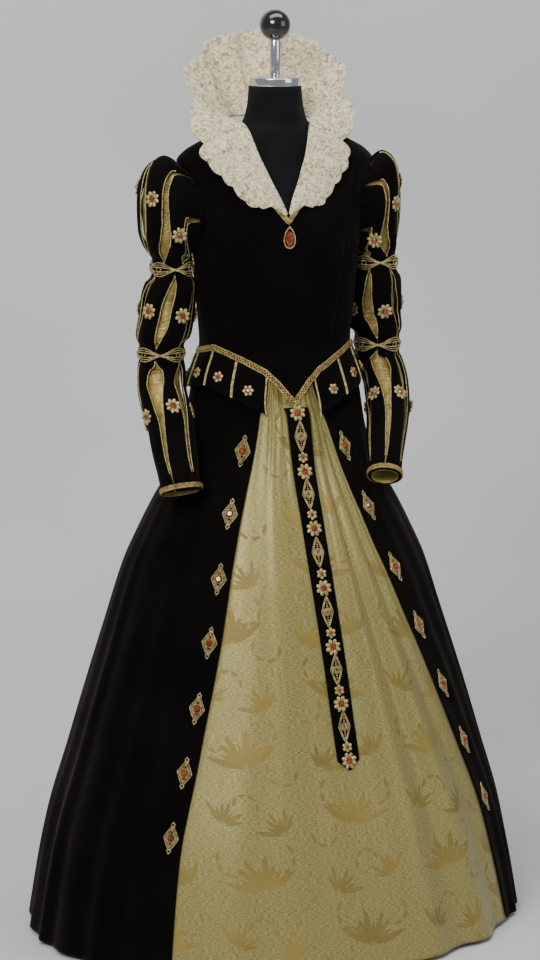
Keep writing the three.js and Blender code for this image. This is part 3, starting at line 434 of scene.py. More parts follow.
class Finish:
    """A material in the making; its map is Object coordinates or the piece's own map in metres."""

    def __init__(self, name):
        self.material = bpy.data.materials.new(name)
        self.material.use_nodes = True
        self.tree = self.material.node_tree
        self.tree.nodes.clear()
        output = self.tree.nodes.new("ShaderNodeOutputMaterial")
        self.shader = self.tree.nodes.new("ShaderNodeBsdfPrincipled")
        self.tree.links.new(self.shader.outputs[0], output.inputs[0])
        coordinates = self.tree.nodes.new("ShaderNodeTexCoord")
        self.place = coordinates.outputs["Object"]
        self.map = coordinates.outputs["UV"]

    def add(self, kind, settings=None, **inputs):
        node = self.tree.nodes.new(kind)
        for key, value in (settings or {}).items():
            setattr(node, key, value)
        for key, value in inputs.items():
            index = int(key[1:]) if key[0] == "i" and key[1:].isdigit() else key.replace("_", " ")
            self.give(node.inputs[index], value)
        return node.outputs[0]

    def give(self, socket, value):
        if isinstance(value, bpy.types.NodeSocket):
            self.tree.links.new(value, socket)
        else:
            socket.default_value = value

    def sum(self, operation, a, b=0.0, c=0.0):
        return self.add("ShaderNodeMath", {"operation": operation}, i0=a, i1=b, i2=c)

    def noise(self, scale, detail=3.0, where=None, distortion=0.0):
        where = self.place if where is None else where
        return self.add("ShaderNodeTexNoise", Vector=where, Scale=scale, Detail=detail, Distortion=distortion)

    def stretch(self, where, scale):
        return self.add("ShaderNodeMapping", Vector=where, Scale=scale)

    def split(self, where):
        node = self.tree.nodes.new("ShaderNodeSeparateXYZ")
        self.give(node.inputs[0], where)
        return node.outputs[0], node.outputs[1]

    def ramp(self, value, low, high, from_value=0.0, to_value=1.0):
        """Goes from one colour or number to another as value goes between the two limits."""
        share = self.add(
            "ShaderNodeMapRange", {"interpolation_type": "SMOOTHSTEP"},
            Value=value, From_Min=from_value, From_Max=to_value,
        )
        if isinstance(low, float):
            return self.sum("MULTIPLY_ADD", share, high - low, low)
        node = self.tree.nodes.new("ShaderNodeMix")
        node.data_type = "RGBA"
        self.give(node.inputs[0], share)
        for index, colour in ((6, low), (7, high)):
            self.give(node.inputs[index], (*colour, 1.0) if isinstance(colour, tuple) else colour)
        return node.outputs[2]

    def bump(self, height, strength, distance, after=None):
        inputs = {"Height": height, "Strength": strength, "Distance": distance}
        if after is not None:
            inputs["Normal"] = after
        return self.add("ShaderNodeBump", **inputs)

    def set(self, **inputs):
        for key, value in inputs.items():
            self.give(self.shader.inputs[key.replace("_", " ")], value)
        return self.material


def velvet():
    f = Finish("dark_velvet")
    nap = f.noise(9.0, 4.0, distortion=0.6)
    pile = f.noise(1400.0, 2.0)
    colour = f.ramp(nap, (0.0011, 0.0009, 0.0008), (0.0024, 0.0019, 0.0016), 0.3, 0.7)
    return f.set(
        Base_Color=colour, Roughness=0.95, Specular_IOR_Level=0.08,
        Sheen_Weight=f.ramp(nap, 0.025, 0.065, 0.3, 0.7), Sheen_Roughness=0.42,
        Sheen_Tint=(0.75, 0.62, 0.50, 1.0), Normal=f.bump(pile, 0.35, 0.0006),
    )


def satin():
    f = Finish("gold_satin")
    shade = f.noise(26.0, 4.0, distortion=0.8)
    thread = f.noise(900.0, 2.0, f.stretch(f.map, (1, 0.12, 1)))
    colour = f.ramp(shade, (0.17, 0.115, 0.020), (0.42, 0.32, 0.085), 0.3, 0.72)
    crease = f.noise(80.0, 4.0, f.stretch(f.map, (0.5, 1.4, 1)), 1.4)
    soft = f.bump(crease, 0.8, 0.004)
    return f.set(
        Base_Color=colour, Metallic=0.3, Roughness=0.34, Sheen_Weight=0.03,
        Normal=f.bump(thread, 0.2, 0.0004, soft),
    )


def along_turn(angle, length):
    return Vector((length * cos(radians(angle)), length * sin(radians(angle))))


def fan(x, y, turn, count, spread, length):
    """Petals that open from one point: each one's middle, turn in degrees, length and width."""
    petals = []
    for k in range(count):
        angle = turn + spread * (k / (count - 1) - 0.5)
        reach = length * (0.82 + 0.18 * cos(2.4 * k))
        middle = Vector((x, y)) + along_turn(angle, 0.6 * reach)
        petals.append((*middle, angle, 0.96 * reach, 0.17 * reach))
    return petals


def scroll(x, y, radius, start, sweep, count, length):
    """Small leaves one after another along an arc."""
    leaves = []
    for k in range(count):
        angle = start + sweep * k / (count - 1)
        size = length * (1 - 0.07 * k)
        leaves.append((*(Vector((x, y)) + along_turn(angle, radius)), angle + 90, size, 0.34 * size))
    return leaves


# The damask's spray: three fans of petals, and scrolls of leaves between them
SPRAY = (
    fan(112, 48, 80, 9, 126, 84) + fan(50, 172, 60, 7, 104, 62) + fan(186, 196, 116, 7, 108, 58)
    + scroll(76, 128, 34, 150, 190, 5, 26) + scroll(176, 120, 30, 20, -190, 5, 24)
    + scroll(36, 44, 30, 200, 170, 4, 26) + scroll(128, 236, 26, 30, 150, 4, 24)
)
REPEAT_WIDTH, REPEAT_LENGTH = 232, 268
SPRAY_SCALE = 0.78


def damask():
    f = Finish("pale_gold_damask")
    sway = f.sum("MULTIPLY_ADD", f.noise(7.0, 2.0, f.map), 0.012, -0.006)
    width, height = f.split(f.map)
    shifted = f.sum("ADD", f.sum("ADD", width, sway), 3.0)
    across = f.sum("DIVIDE", shifted, REPEAT_WIDTH * SPRAY_SCALE * MM)
    half_drop = f.sum("MULTIPLY", f.sum("FLOOR", across), 0.5)
    along = f.sum("ADD", f.sum("DIVIDE", height, REPEAT_LENGTH * SPRAY_SCALE * MM), half_drop)
    tile = f.add(
        "ShaderNodeCombineXYZ", X=f.sum("MULTIPLY", f.sum("PINGPONG", across, 1.0), REPEAT_WIDTH),
        Y=f.sum("MULTIPLY", f.sum("FRACT", along), REPEAT_LENGTH),
    )
    nearest = None
    for x, y, turn, length, width in SPRAY:
        bulge = (length * length - width * width) / (4 * width)
        radius = bulge + width / 2
        sides = []
        for side in (-1, 1):
            away = Vector((0, side * bulge, 0)) @ Matrix.Rotation(radians(-turn), 3, "Z")
            spot = Vector((x, y, 0)) + away
            far = f.add("ShaderNodeVectorMath", {"operation": "DISTANCE"}, i0=tile, i1=spot)
            sides.append(far.node.outputs[1])
        shape = f.sum("SUBTRACT", f.sum("MAXIMUM", *sides), radius)
        nearest = shape if nearest is None else f.sum("MINIMUM", nearest, shape)
    wobble = f.noise(210.0, 3.0, f.map, 1.4)
    edge = f.sum("MULTIPLY_ADD", wobble, 9.0, f.sum("SUBTRACT", nearest, 4.6))
    figure = f.ramp(edge, 1.0, 0.0, -1.2, 1.2)
    vein = f.sum("PINGPONG", f.sum("ABSOLUTE", nearest), 2.2)
    veins = f.ramp(vein, 0.55, 1.0, 0.0, 0.9)
    rib = f.add(
        "ShaderNodeTexWave", {"bands_direction": "Y"}, Vector=f.map, Scale=260.0, Distortion=1.0, Detail=1.0,
    )
    glint = f.noise(700.0, 2.0, f.stretch(f.map, (0.25, 1.6, 1)))
    ground = f.ramp(glint, (0.185, 0.152, 0.042), (0.43, 0.37, 0.13), 0.36, 0.68)
    # Large soft patches of painted sheen: the leaves' warm gold is lighter and darker by these patches
    painted_sheen_patches = f.noise(6.0, 3.0, f.map)
    warm = f.ramp(painted_sheen_patches, (0.175, 0.125, 0.02), (0.29, 0.21, 0.04), 0.3, 0.7)
    leaf = f.ramp(veins, ground, warm, 0.3, 0.9)
    colour = f.ramp(figure, ground, leaf, 0.0, 1.0)
    relief = f.sum("MULTIPLY_ADD", figure, 0.6, f.sum("MULTIPLY", rib, 0.25))
    return f.set(
        Base_Color=colour, Roughness=f.ramp(figure, 0.40, 0.52), Metallic=f.ramp(figure, 0.30, 0.10),
        Sheen_Weight=0.02, Normal=f.bump(relief, 0.35, 0.0008),
    )


def lace():
    f = Finish("ivory_guipure_lace")
    cells = f.add("ShaderNodeTexVoronoi", {"feature": "DISTANCE_TO_EDGE"}, Vector=f.place, Scale=520.0)
    knots = f.noise(620.0, 3.0, f.place, 0.6)
    leaf = f.noise(150.0, 3.0, f.place, 1.2)
    cord = f.ramp(cells, 1.0, 0.0, 0.02, 0.22)
    body = f.sum("MULTIPLY_ADD", leaf, 0.9, f.sum("MULTIPLY", knots, 0.8))
    holes = f.ramp(body, 0.0, 1.0, 0.62, 0.86)
    pale = f.ramp(leaf, (0.52, 0.445, 0.255), (0.94, 0.855, 0.57), 0.35, 0.62)
    colour = f.ramp(holes, (0.22, 0.175, 0.09), pale, 0.0, 0.6)
    height = f.sum("MULTIPLY_ADD", cord, 0.35, body)
    return f.set(
        Base_Color=colour, Roughness=0.85, Sheen_Weight=0.15, Subsurface_Weight=0.12,
        Subsurface_Radius=(0.004, 0.003, 0.002), Normal=f.bump(height, 0.9, 0.0016),
    )


def gilt(name, base, metal, rough):
    f = Finish(name)
    age = f.noise(160.0, 3.0)
    round_cord, along = f.split(f.map)
    twist = f.sum("ADD", f.sum("MULTIPLY", round_cord, FULL_TURN), f.sum("MULTIPLY", along, 2600.0))
    thread = f.sum("SINE", twist)
    dark = tuple(c * 0.45 for c in base)
    return f.set(
        Base_Color=f.ramp(age, dark, base, 0.32, 0.6), Metallic=metal,
        Roughness=f.ramp(age, rough + 0.15, rough, 0.3, 0.7), Normal=f.bump(thread, 0.6, 0.0005),
    )


def amber():
    f = Finish("dark_amber_stone")
    depth = f.noise(180.0, 3.0)
    return f.set(
        Base_Color=f.ramp(depth, (0.11, 0.008, 0.001), (0.40, 0.055, 0.005), 0.35, 0.65), Roughness=0.12,
        IOR=1.6, Transmission_Weight=0.15, Coat_Weight=0.6, Coat_Roughness=0.03,
    )


def jersey():
    f = Finish("black_jersey")
    knit = f.add("ShaderNodeTexWave", {"bands_direction": "X"}, Vector=f.map, Scale=420.0, Distortion=1.5)
    return f.set(
        Base_Color=f.ramp(f.noise(30.0), (0.0022, 0.0026, 0.0028), (0.0042, 0.0050, 0.0052), 0.3, 0.7),
        Roughness=0.88, Specular_IOR_Level=0.15, Sheen_Weight=0.02, Normal=f.bump(knit, 0.25, 0.0004),
    )


def hard(name, base, metal, rough, scratch, coat=0.0):
    f = Finish(name)
    wear = f.noise(scratch, 4.0, f.stretch(f.place, (1, 1, 8)))
    return f.set(
        Base_Color=f.ramp(wear, tuple(c * 0.8 for c in base), base, 0.3, 0.6), Metallic=metal,
        Roughness=f.ramp(wear, rough * 1.5, rough, 0.3, 0.7), Coat_Weight=coat, Coat_Roughness=0.05,
        Normal=f.bump(wear, 0.05, 0.0003),
    )


VELVET = velvet()
SATIN = satin()
DAMASK = damask()
LACE = lace()
GOLD = gilt("aged_gilt_cord", (0.50, 0.37, 0.13), 0.75, 0.34)
PEARL = gilt("pale_gilt_beads", (0.58, 0.46, 0.19), 0.55, 0.30)
AMBER = amber()
JERSEY = jersey()
CHROME = hard("polished_chrome", (0.80, 0.80, 0.82), 1.0, 0.10, 90.0)
GLOSS = hard("glossy_black", (0.006, 0.006, 0.007), 0.0, 0.12, 60.0, 0.8)
ENAMEL = hard("black_enamel", (0.015, 0.015, 0.016), 0.0, 0.38, 80.0)

# The stand, the form and its hardware

turned_piece("round_stand", [
    (0, 0), (171, 0), (175, 3), (175, 7), (172, 9), (60, 17), (36, 21), (33, 24), (21, 29),
    (18, 33), (16, 34), (16, 620), (20, 622), (20, 650), (16, 652), (16, 799), (0, 799),
], ENAMEL, ["stand"])
turned_piece("neck_cap_chrome", [
    (0, 1476.3), (43.5, 1476.3), (43.5, 1489.3), (42, 1490.6), (30, 1493), (15, 1495.4), (13, 1496.3),
    (0, 1496.3),
], CHROME, ["neck_cap"], 96)
rod = [(0, 1496.6), (9, 1496.6), (9, 1553.6), (0, 1553.6)]
turned_piece("finial_rod_chrome", rod, CHROME, ["finial_rod"], 48)
BALL_RADIUS, BALL_MIDDLE, BALL_START = 26.5, 1578.5, -1.18
ball_turns = [BALL_START + (pi / 2 - BALL_START) * i / 22 for i in range(23)]
ball = [(max(BALL_RADIUS * cos(t), 0), BALL_MIDDLE + BALL_RADIUS * sin(t)) for t in ball_turns]
turned_piece("finial_ball_black", [(0, ball[0][1])] + ball, GLOSS, ["finial_ball"], 48)

hip_side, hip_depth = follow(FORM_HIPS, 1), follow(FORM_HIPS, 2)


def form_point(u, v):
    z = mix(FORM_BOTTOM, FORM_TOP, v)
    angle = 360 * u
    rise = min(max((z - CHEST_Z) / (SHOULDER_Z - CHEST_Z), 0), 1)
    room = mix(mix(CHEST_ROOM, SHOULDER_ROOM, rise), NECK_ROOM, ease((z - NECK_Z) / 20))
    worn = section_point(angle, z, -room)
    turn = radians(angle)
    bare = Vector((hip_side(z) * sin(turn), -hip_depth(z) * cos(turn), z))
    return bare.lerp(worn, ease((z - HIP_TOP) / 40))


def build_form():
    bm = bmesh.new()
    add_cloth(bm, 72, 110, form_point, closed=True)
    bmesh.ops.holes_fill(bm, edges=[edge for edge in bm.edges if edge.is_boundary])
    add_piece("jersey_covered_form", bm, [JERSEY], ["form_torso"])


build_form()

# The skirts


def fold_wave(share, count, unevenness, seed):
    """A row of soft folds of uneven width and height, none at either end."""
    warped = share + unevenness * ripple(share * count * 0.8, seed) * sin(pi * share)
    height = 1 + 0.45 * ripple(share * count * 0.7, seed + 7.3)
    return height * (0.5 - 0.5 * cos(FULL_TURN * count * warped))


def skirt_top(start, end, share):
    """Just under the waist seam, that share of the way between two lines."""
    return seam_height(mix(start(SKIRT_SEAM_LEVEL), end(SKIRT_SEAM_LEVEL), share)) - 1.5


def panel_point(start, end, out):
    """The surface between two lines of the skirt; out(share, angle, z) moves it out."""

    def point(u, v):
        z = mix(HEM, skirt_top(start, end, u), v)
        angle = mix(start(z), end(z), u)
        return section_point(angle, z, out(u, angle, z))

    return point


def side_fold(sign, edge):
    inset = along_skirt(edge, sign * BROOCH_INSET)

    def out(share, angle, z):
        start = inset(z)
        past = (angle - start) / (sign * SIDE_SEAM - start)
        if past <= 0:
            return 0.0
        swell = max(1 - z / PLEAT_TOP, 0)
        drape = 1.6 * ripple(past * 3, z / 260, sign) * sin(pi * min(past, 1))
        return 9 * swell * fold_wave(past, 5, 0.05, sign * 3.1) + drape

    return out


def seam_line(angle):
    return lambda z: angle


right_panel = panel_point(seam_line(-SIDE_SEAM + 0.1), right_edge_at, side_fold(-1, right_edge_at))
left_panel = panel_point(left_edge_at, seam_line(SIDE_SEAM - 0.1), side_fold(1, left_edge_at))


def back_fold(share, angle, z):
    swell = max(1 - z / PLEAT_TOP, 0)
    fading = exp(-(seam_height(angle) - z) / 70)
    gathers = 1.5 * fading * sin(120 * share + 2 * ripple(share * 9, 4))
    return 12 * swell * fold_wave(share, 9, 0.035, 5.7) + 1.5 * ripple(share * 6, z / 240, 9) + gathers * 0.6


back_panel = panel_point(seam_line(SIDE_SEAM + 0.1), seam_line(360 - SIDE_SEAM - 0.1), back_fold)

for name, columns, rows, panel in (
    ("right", 90, 130, right_panel), ("left", 90, 130, left_panel), ("back", 150, 110, back_panel),
):
    nodes = [f"overskirt_{name}"]
    cloth(f"velvet_overskirt_{name}", columns, rows, panel, VELVET, "velvet", nodes, VELVET_WALL)

# Each fold of the forepart: its share across at the waist and at the hem, its half width and its height
FOREPART_FOLDS = [
    (0.16, 0.13, 0.030, -3.0), (0.24, 0.25, 0.035, 4.5), (0.33, 0.35, 0.030, -4.0), (0.40, 0.43, 0.022, 3.0),
    (0.58, 0.58, 0.025, -4.0), (0.63, 0.66, 0.028, 5.0), (0.69, 0.73, 0.024, -5.5), (0.74, 0.80, 0.026, 5.0),
    (0.80, 0.87, 0.022, -4.5), (0.85, 0.92, 0.020, 3.0),
]


def forepart_columns():
    right, left = right_edge_at, left_edge_at
    girdle_right = along_skirt(girdle_at, -GIRDLE_HALF)
    girdle_left = along_skirt(girdle_at, GIRDLE_HALF)
    between = lambda a, b, share: lambda z: mix(a(z), b(z), share)
    return [
        along_skirt(right, -50), right,
        *[between(right, girdle_right, share) for share in (0.3, 0.55, 0.8)],
        girdle_right, girdle_at, girdle_left,
        *[between(girdle_left, left, share) for share in (0.2, 0.4, 0.6, 0.8)],
        left, along_skirt(left, 50),
    ]


COLUMNS = forepart_columns()
LAST_COLUMN = len(COLUMNS) - 1
GIRDLE_COLUMN = 6
# How far the forepart lies out at each column, at the hem
sink_at = by_number([-4, -4, 5, -2, 6, -1, -1, -1, 6, -3, 8, -2, -4, -4])


def forepart_point(u, v):
    place = u * LAST_COLUMN
    i = min(int(place), LAST_COLUMN - 1)
    top = skirt_top(COLUMNS[i], COLUMNS[i + 1], place - i)
    z = mix(HEM, top, v)
    angle = mix(COLUMNS[i](z), COLUMNS[i + 1](z), place - i)
    is_under = place < 1 or place > LAST_COLUMN - 1
    swell = 1 if is_under else max(1 - z / PLEAT_TOP, 0.15)
    out = -1 + (sink_at(place) + 1) * swell
    if not is_under:
        inside = ease((place - 1) / 0.8) * ease((LAST_COLUMN - 1 - place) / 0.8)
        inside *= 1 - exp(-(((place - GIRDLE_COLUMN) / 0.9) ** 4))
        drop = 1 - v
        for high, low, width, height in FOREPART_FOLDS:
            middle = mix(high, low, drop)
            out += inside * height * (0.35 + 0.65 * drop) * exp(-(((u - middle) / width) ** 2))
        gather = exp(-(top - z) / 120)
        out += inside * 2.2 * gather * sin(95 * u + 3 * ripple(u * 8, v * 5))
        out += inside * 1.4 * ripple(u * 9, v * 4, 2.2)
    return section_point(angle, z, out)


cloth("damask_forepart", 156, 150, forepart_point, DAMASK, "damask", ["forepart"], DAMASK_WALL)

# The bodice


def princess_angle(z):
    return degrees(asin(min(princess_at(z) / side_at(z), 1)))


def bodice_panel(start, end, top):
    def point(u, v):
        low = seam_height(mix(start(BODICE_SEAM_LEVEL), end(BODICE_SEAM_LEVEL), u)) + 0.3
        z = mix(low, top, v)
        angle = mix(start(z), end(z), u)
        seam_dip = 0.9 * (exp(-((u / 0.025) ** 2)) + exp(-(((1 - u) / 0.025) ** 2)))
        drape = 1.2 * ripple(angle / 22, z / 150, 3.3) + 0.8 * ripple(angle / 9, z / 260, 8.1)
        return section_point(angle, z, drape * sin(pi * u) - seam_dip)

    return point


def in_opening(place):
    from_arm = hypot(place.y / ARMHOLE_HALF_DEPTH, (place.z - ARMHOLE_Z) / ARMHOLE_HALF_HEIGHT)
    if abs(place.x) > ARMHOLE_SIDE and from_arm < 1:
        return True
    if place.y < 0.1 and place.z > NECK_FRONT and abs(place.x - NECK_SHIFT) < neck_at(place.z):
        return True
    return place.z > NECK_ALL_ROUND and hypot(place.x, place.y) < NECK_RADIUS


def bodice_piece(name, node, columns, rows, start, end, top):
    cloth(
        f"velvet_bodice_{name}", columns, rows, bodice_panel(start, end, top), VELVET, "velvet",
        [f"bodice_{node}"], VELVET_WALL, "stretched", is_open=in_opening,
    )


def princess_line(sign, slit):
    return lambda z: sign * (princess_angle(z) + slit)


bodice_piece("front", "front", 90, 120, princess_line(-1, -0.12), princess_line(1, -0.12), BODICE_TOP)
for sign, side in SIDES:
    lines = [princess_line(sign, 0.12), *[seam_line(sign * angle) for angle in (89.9, 90.1, 179.9)]]
    bodice_piece(f"side_{side}", f"side_front_{side}", 36, 110, *lines[:2][::sign], SIDE_TOP)
    bodice_piece(f"back_{side}", f"back_{side}", 80, 120, *lines[2:][::sign], BODICE_TOP)

# The collar's ribs: where each leaves the neck, its edge, how much of the fluting it has, and how far its
# edge is shifted on the right and on the left
COLLAR_RIBS = [
    (1, -103, 1269, 4, -104, 1264, 0, 0, 0), (8, -98, 1288, 30, -104, 1279, 0, 0, 0),
    (15, -93, 1304, 48, -100, 1277, 0, 0, 0), (22, -88, 1319, 70, -94, 1285, 0, 0, 0),
    (31, -80, 1341, 88, -84, 1307, 0, 0, 0), (40, -72, 1363, 103, -74, 1323, 0, 0, 0),
    (47, -62, 1386, 117, -64, 1343, 0.2, -3, 0), (53, -50, 1406, 124, -50, 1370, 0.5, -15, 0),
    (60, -34, 1418, 128, -34, 1400, 0.8, -10, 0), (66, -14, 1422, 133, -12, 1434, 1, -2, 0),
    (68, 8, 1422, 138, 16, 1468, 1, 0, 0), (66, 28, 1422, 137, 46, 1496, 1, 11, 3),
    (58, 46, 1422, 127, 76, 1520, 1, 15, 8), (44, 60, 1422, 107, 103, 1539, 1, 18, 14),
    (24, 69, 1422, 76, 123, 1553, 1, 17, 14), (8, 73, 1422, 38, 137, 1563, 1, 12, 12),
    (0, 73, 1422, 0, 142, 1567, 1, 8, 8),
]
rib_at = [by_number(column) for column in zip(*COLLAR_RIBS)]
collar_bulge = follow([(0, 0), (0.35, 5), (0.7, 4), (1, 0)])
collar_clearance = follow([(0, 2.25), (0.35, 5), (0.7, 4.5), (1, 2.5)])
FLUTES, FLUTE_DEPTH = 13.05, 14
SCALLOPS, SCALLOP_DEPTH, PICOTS, PICOT_LENGTH = 15, 4.4, 95, 1.5
COLLAR_FREE_HEIGHT = 1412


def push_clear(point, clearance):
    side = side_at(point.z) + clearance
    depth = (front_at(point.z) if point.y < 0 else back_at(point.z)) + clearance
    share = hypot(point.x / side, point.y / depth)
    return point if share >= 1 else Vector((point.x / share, point.y / share, point.z))


def collar_point(u, v):
    sign = -1 if u < 0.5 else 1
    share = 1 - abs(2 * u - 1)
    rib = share * (len(COLLAR_RIBS) - 1)
    foot = Vector([rib_at[k](rib) for k in (0, 1, 2)])
    edge = Vector([rib_at[k](rib) for k in (3, 4, 5)])
    fluting = rib_at[6](rib)
    length = (edge - foot).length
    lace_edge = SCALLOP_DEPTH * abs(sin(pi * share * SCALLOPS))
    lace_edge += PICOT_LENGTH * abs(sin(pi * share * PICOTS))
    reach = v + v ** 6 * (lace_edge - SCALLOP_DEPTH) / max(length, 30) * min(1, share * 14)
    point = foot.lerp(edge, reach)
    outward = Vector((point.x, point.y, 0)).normalized()
    around = Vector((-outward.y, outward.x, 0))
    phase = pi * FLUTES * (1 - share)
    wave = 2.1 * abs(cos(phase / 2)) ** 0.65 - 1.1
    point += outward * (collar_bulge(v) + FLUTE_DEPTH * fluting * v ** 0.8 * wave)
    point += around * (4.5 * fluting * v ** 1.2 * sin(phase))
    point += outward * 1.6 * ripple(share * 26, v * 3, 4.4 * sign) * v
    if point.z < COLLAR_FREE_HEIGHT:
        point = push_clear(point, collar_clearance(v) + 0.5 * v * abs(ripple(share * 40, v * 8)))
    shift = v * rib_at[8 if sign < 0 else 7](rib)
    return Vector((NECK_SHIFT - sign * point.x + shift, point.y, point.z))


cloth(
    "lace_collar", 420, 40, lambda u, v: collar_point(1 - u, v), LACE, "lace", ["collar"], LACE_WALL,
    "stretched", "velvet_bodice_front",
)

# Braid on the waist seam, at the neck and round the wrists
BRAID_WIRES, BRAID_RIM = 3, 1.25


def braid_piece(name, node, path, normals, half_width, closed, pitch):
    """Two rim cords with wires that cross between them, along a path on a surface."""
    bm = bmesh.new()
    lengths = distances(path)
    last = len(path) - 1
    sides = []
    for j in range(last + 1):
        before = path[j - 1] if closed or j else path[0]
        after = path[(j + 1) % (last + 1)] if closed else path[min(j + 1, last)]
        sides.append((after - before).normalized().cross(normals[j]).normalized())
    total = lengths[-1] + ((path[0] - path[-1]).length if closed else 0)
    turns = max(round(total / (2 * pitch)), 1)
    for sign in (-1, 1):
        reach = sign * (half_width - BRAID_RIM)
        rim_line = [p + s * reach + n * BRAID_RIM * 0.7 for p, s, n in zip(path, sides, normals)]
        add_strand(bm, rim_line, normals, BRAID_RIM, 6, closed)
    for k in range(BRAID_WIRES):
        line = []
        for p, s, n, at in zip(path, sides, normals, lengths):
            phase = FULL_TURN * (turns * at / total + k / BRAID_WIRES)
            swing = (half_width - BRAID_RIM * 1.6) * sin(phase)
            line.append(p + s * swing + n * (1.1 + 0.5 * cos(phase * 2)))
        add_strand(bm, line, normals, 1.0, 5, closed)
    add_piece(name, bm, [GOLD], [node])


def surface_normal(angle, z):
    across = section_point(angle + 0.5, z) - section_point(angle - 0.5, z)
    up = section_point(angle, z + 3) - section_point(angle, z - 3)
    return across.cross(up).normalized()


waist_angles = []
angle = -180.0
while angle < 180:
    waist_angles.append(angle)
    angle += 0.55 if abs(angle) > 24 else 0.4
waist_path = [section_point(angle, seam_height(angle), 1.6) for angle in waist_angles]
waist_normals = [surface_normal(angle, seam_height(angle)) for angle in waist_angles]
braid_piece("gilt_braid_waist", "waist_braid", waist_path, waist_normals, BRAID_REACH, True, 8.0)


def front_point(x, z, out):
    side = side_at(z) + out
    return Vector((x, -(front_at(z) + out) * sqrt(max(1 - (x / side) ** 2, 0)), z))


neck_shares = [i / 30 - 1 for i in range(61)]
neck_path = [front_point(NECK_SHIFT + 25 * share, 1253.5 + abs(share) * 32, 0.9) for share in neck_shares]
neck_normals = [Vector((share * 0.1, -1, 0.05)).normalized() for share in neck_shares]
braid_piece("gilt_braid_neck", "neck_braid", neck_path, neck_normals, 4.5, False, 6.0)


def drop_line(count, height):
    """A closed drop, broad below."""
    turns = [FULL_TURN * i / count for i in range(count)]
    return [(9.2 * cos(t) * (1 - 0.26 * sin(t)), 17.0 * sin(t), height) for t in turns]


def gilt_piece(name, bm, nodes):
    add_piece(name, bm, [PEARL, AMBER], nodes)


def build_pendant():
    bm = bmesh.new()
    centre = front_point(NECK_SHIFT, 1227.5, 0.9)
    place = seat(centre, Vector((1, 0, 0)), Vector((0, 0, 1)), Vector((0, -1, 0)))
    wire(bm, place, drop_line(40, 1.5), 1.4, 6)
    add_beads(bm, place, drop_line(26, 2.8), (1.2, 1.2, 1.0))
    add_bead(bm, place, 0, 18.2, 2.4, (2.4, 2.4, 1.6), 0, 8)
    add_stone(bm, place @ Matrix.Translation((0, -1.2, 0)), 6.8, 13.0, 1.0, 5.0, 16)
    gilt_piece("amber_pendant", bm, ["pendant"])


build_pendant()

# The peplum's tabs, each with gilt edges and a small flower
TAB_COUNT, TAB_SLIT, TAB_BACK, TAB_FLARE = 7, 0.48, 179.7, 8


def tab_point(sign, front, index):
    pitch = (TAB_BACK - front) / TAB_COUNT
    start = front + index * pitch

    def point(u, v):
        share = u if sign > 0 else 1 - u
        drop = 1 - v
        curve = 1.1 * sin(pi * drop) * drop
        near, far = start + TAB_SLIT + curve, start + pitch - TAB_SLIT + curve * (index < TAB_COUNT - 1)
        angle = mix(near, far, share)
        top = seam_height(angle) - BRAID_REACH - 0.8
        length = mix(62, 48, angle / 180) + 2.5 * sin(pi * share)
        crown = 2.5 * drop * sin(pi * share)
        curl = 1.2 * ripple(angle / 9, v * 2, sign * 5)
        return section_point(sign * angle, top - drop * length, 3.5 + TAB_FLARE * drop + crown + curl * drop)

    return point


def build_peplum(sign, side, front):
    bm = bmesh.new()
    trim = bmesh.new()
    points = [tab_point(sign, front, index) for index in range(TAB_COUNT)]
    cut = add_panels(bm, 14, 14, points)
    downwards = [1 - i / 16 for i in range(17)]
    for index, point in enumerate(points):
        for u in (0.0, 1.0):
            is_front = index == 0 and (u == 0.0) == (sign > 0)
            add_edge_cord(trim, point, u, downwards, 0.8, 1.7 if is_front else 1.3, 0.004)
        add_flower(trim, seat(*surface_frame(point, 0.5, 0.42)), 10, 6, 3.6)
    add_sheet(f"velvet_peplum_{side}", bm, VELVET, [f"peplum_{side}"], VELVET_WALL, cut)
    gilt_piece(f"peplum_trim_{side}", trim, [])


build_peplum(-1, "right", 18)
build_peplum(1, "left", 15)

# The girdle: a velvet strip with a chain of rosettes, filigree ovals and small flowers
GIRDLE_TOP, GIRDLE_TIP = 938, 341


def forepart_height(place, z):
    """The share up the forepart's column where it reaches that height."""
    top = forepart_point(place / LAST_COLUMN, 1).z
    return (z - HEM) / (top - HEM)


def girdle_point(across, z, out):
    """A point of the strip, by its distance from the middle line, its height and how far out it lies."""
    place = GIRDLE_COLUMN + across / GIRDLE_HALF
    base, _, _, normal = surface_frame(forepart_point, place / LAST_COLUMN, forepart_height(place, z))
    return base + normal * out


def girdle_sheet(u, v):
    across = mix(-GIRDLE_HALF, GIRDLE_HALF, u)
    low = GIRDLE_TIP + 17 * abs(across) / GIRDLE_HALF
    return girdle_point(across, mix(low, GIRDLE_TOP, v), 2.6 + 0.5 * ripple(u * 2, v * 12))


cloth(
    "velvet_girdle", 16, 150, girdle_sheet, VELVET, "velvet", ["girdle_band"], VELVET_WALL, "hung",
    "damask_forepart",
)


def girdle_seat(z):
    up = girdle_point(0, z + 4, 3.2) - girdle_point(0, z - 4, 3.2)
    across = (girdle_point(6, z, 3.2) - girdle_point(-6, z, 3.2)).normalized()
    along = (up - across * up.dot(across)).normalized()
    return seat(girdle_point(0, z, 3.2), across, along, across.cross(along))


def lozenge(half_width, half_length, height, hollow):
    """A closed line with two sharp ends."""
    line = []
    for i in range(48):
        turn = FULL_TURN * i / 48
        along = sin(turn)
        across = copysign(half_width * max(1 - abs(along), 0) ** hollow, cos(turn))
        line.append((across, half_length * along, height))
    return line


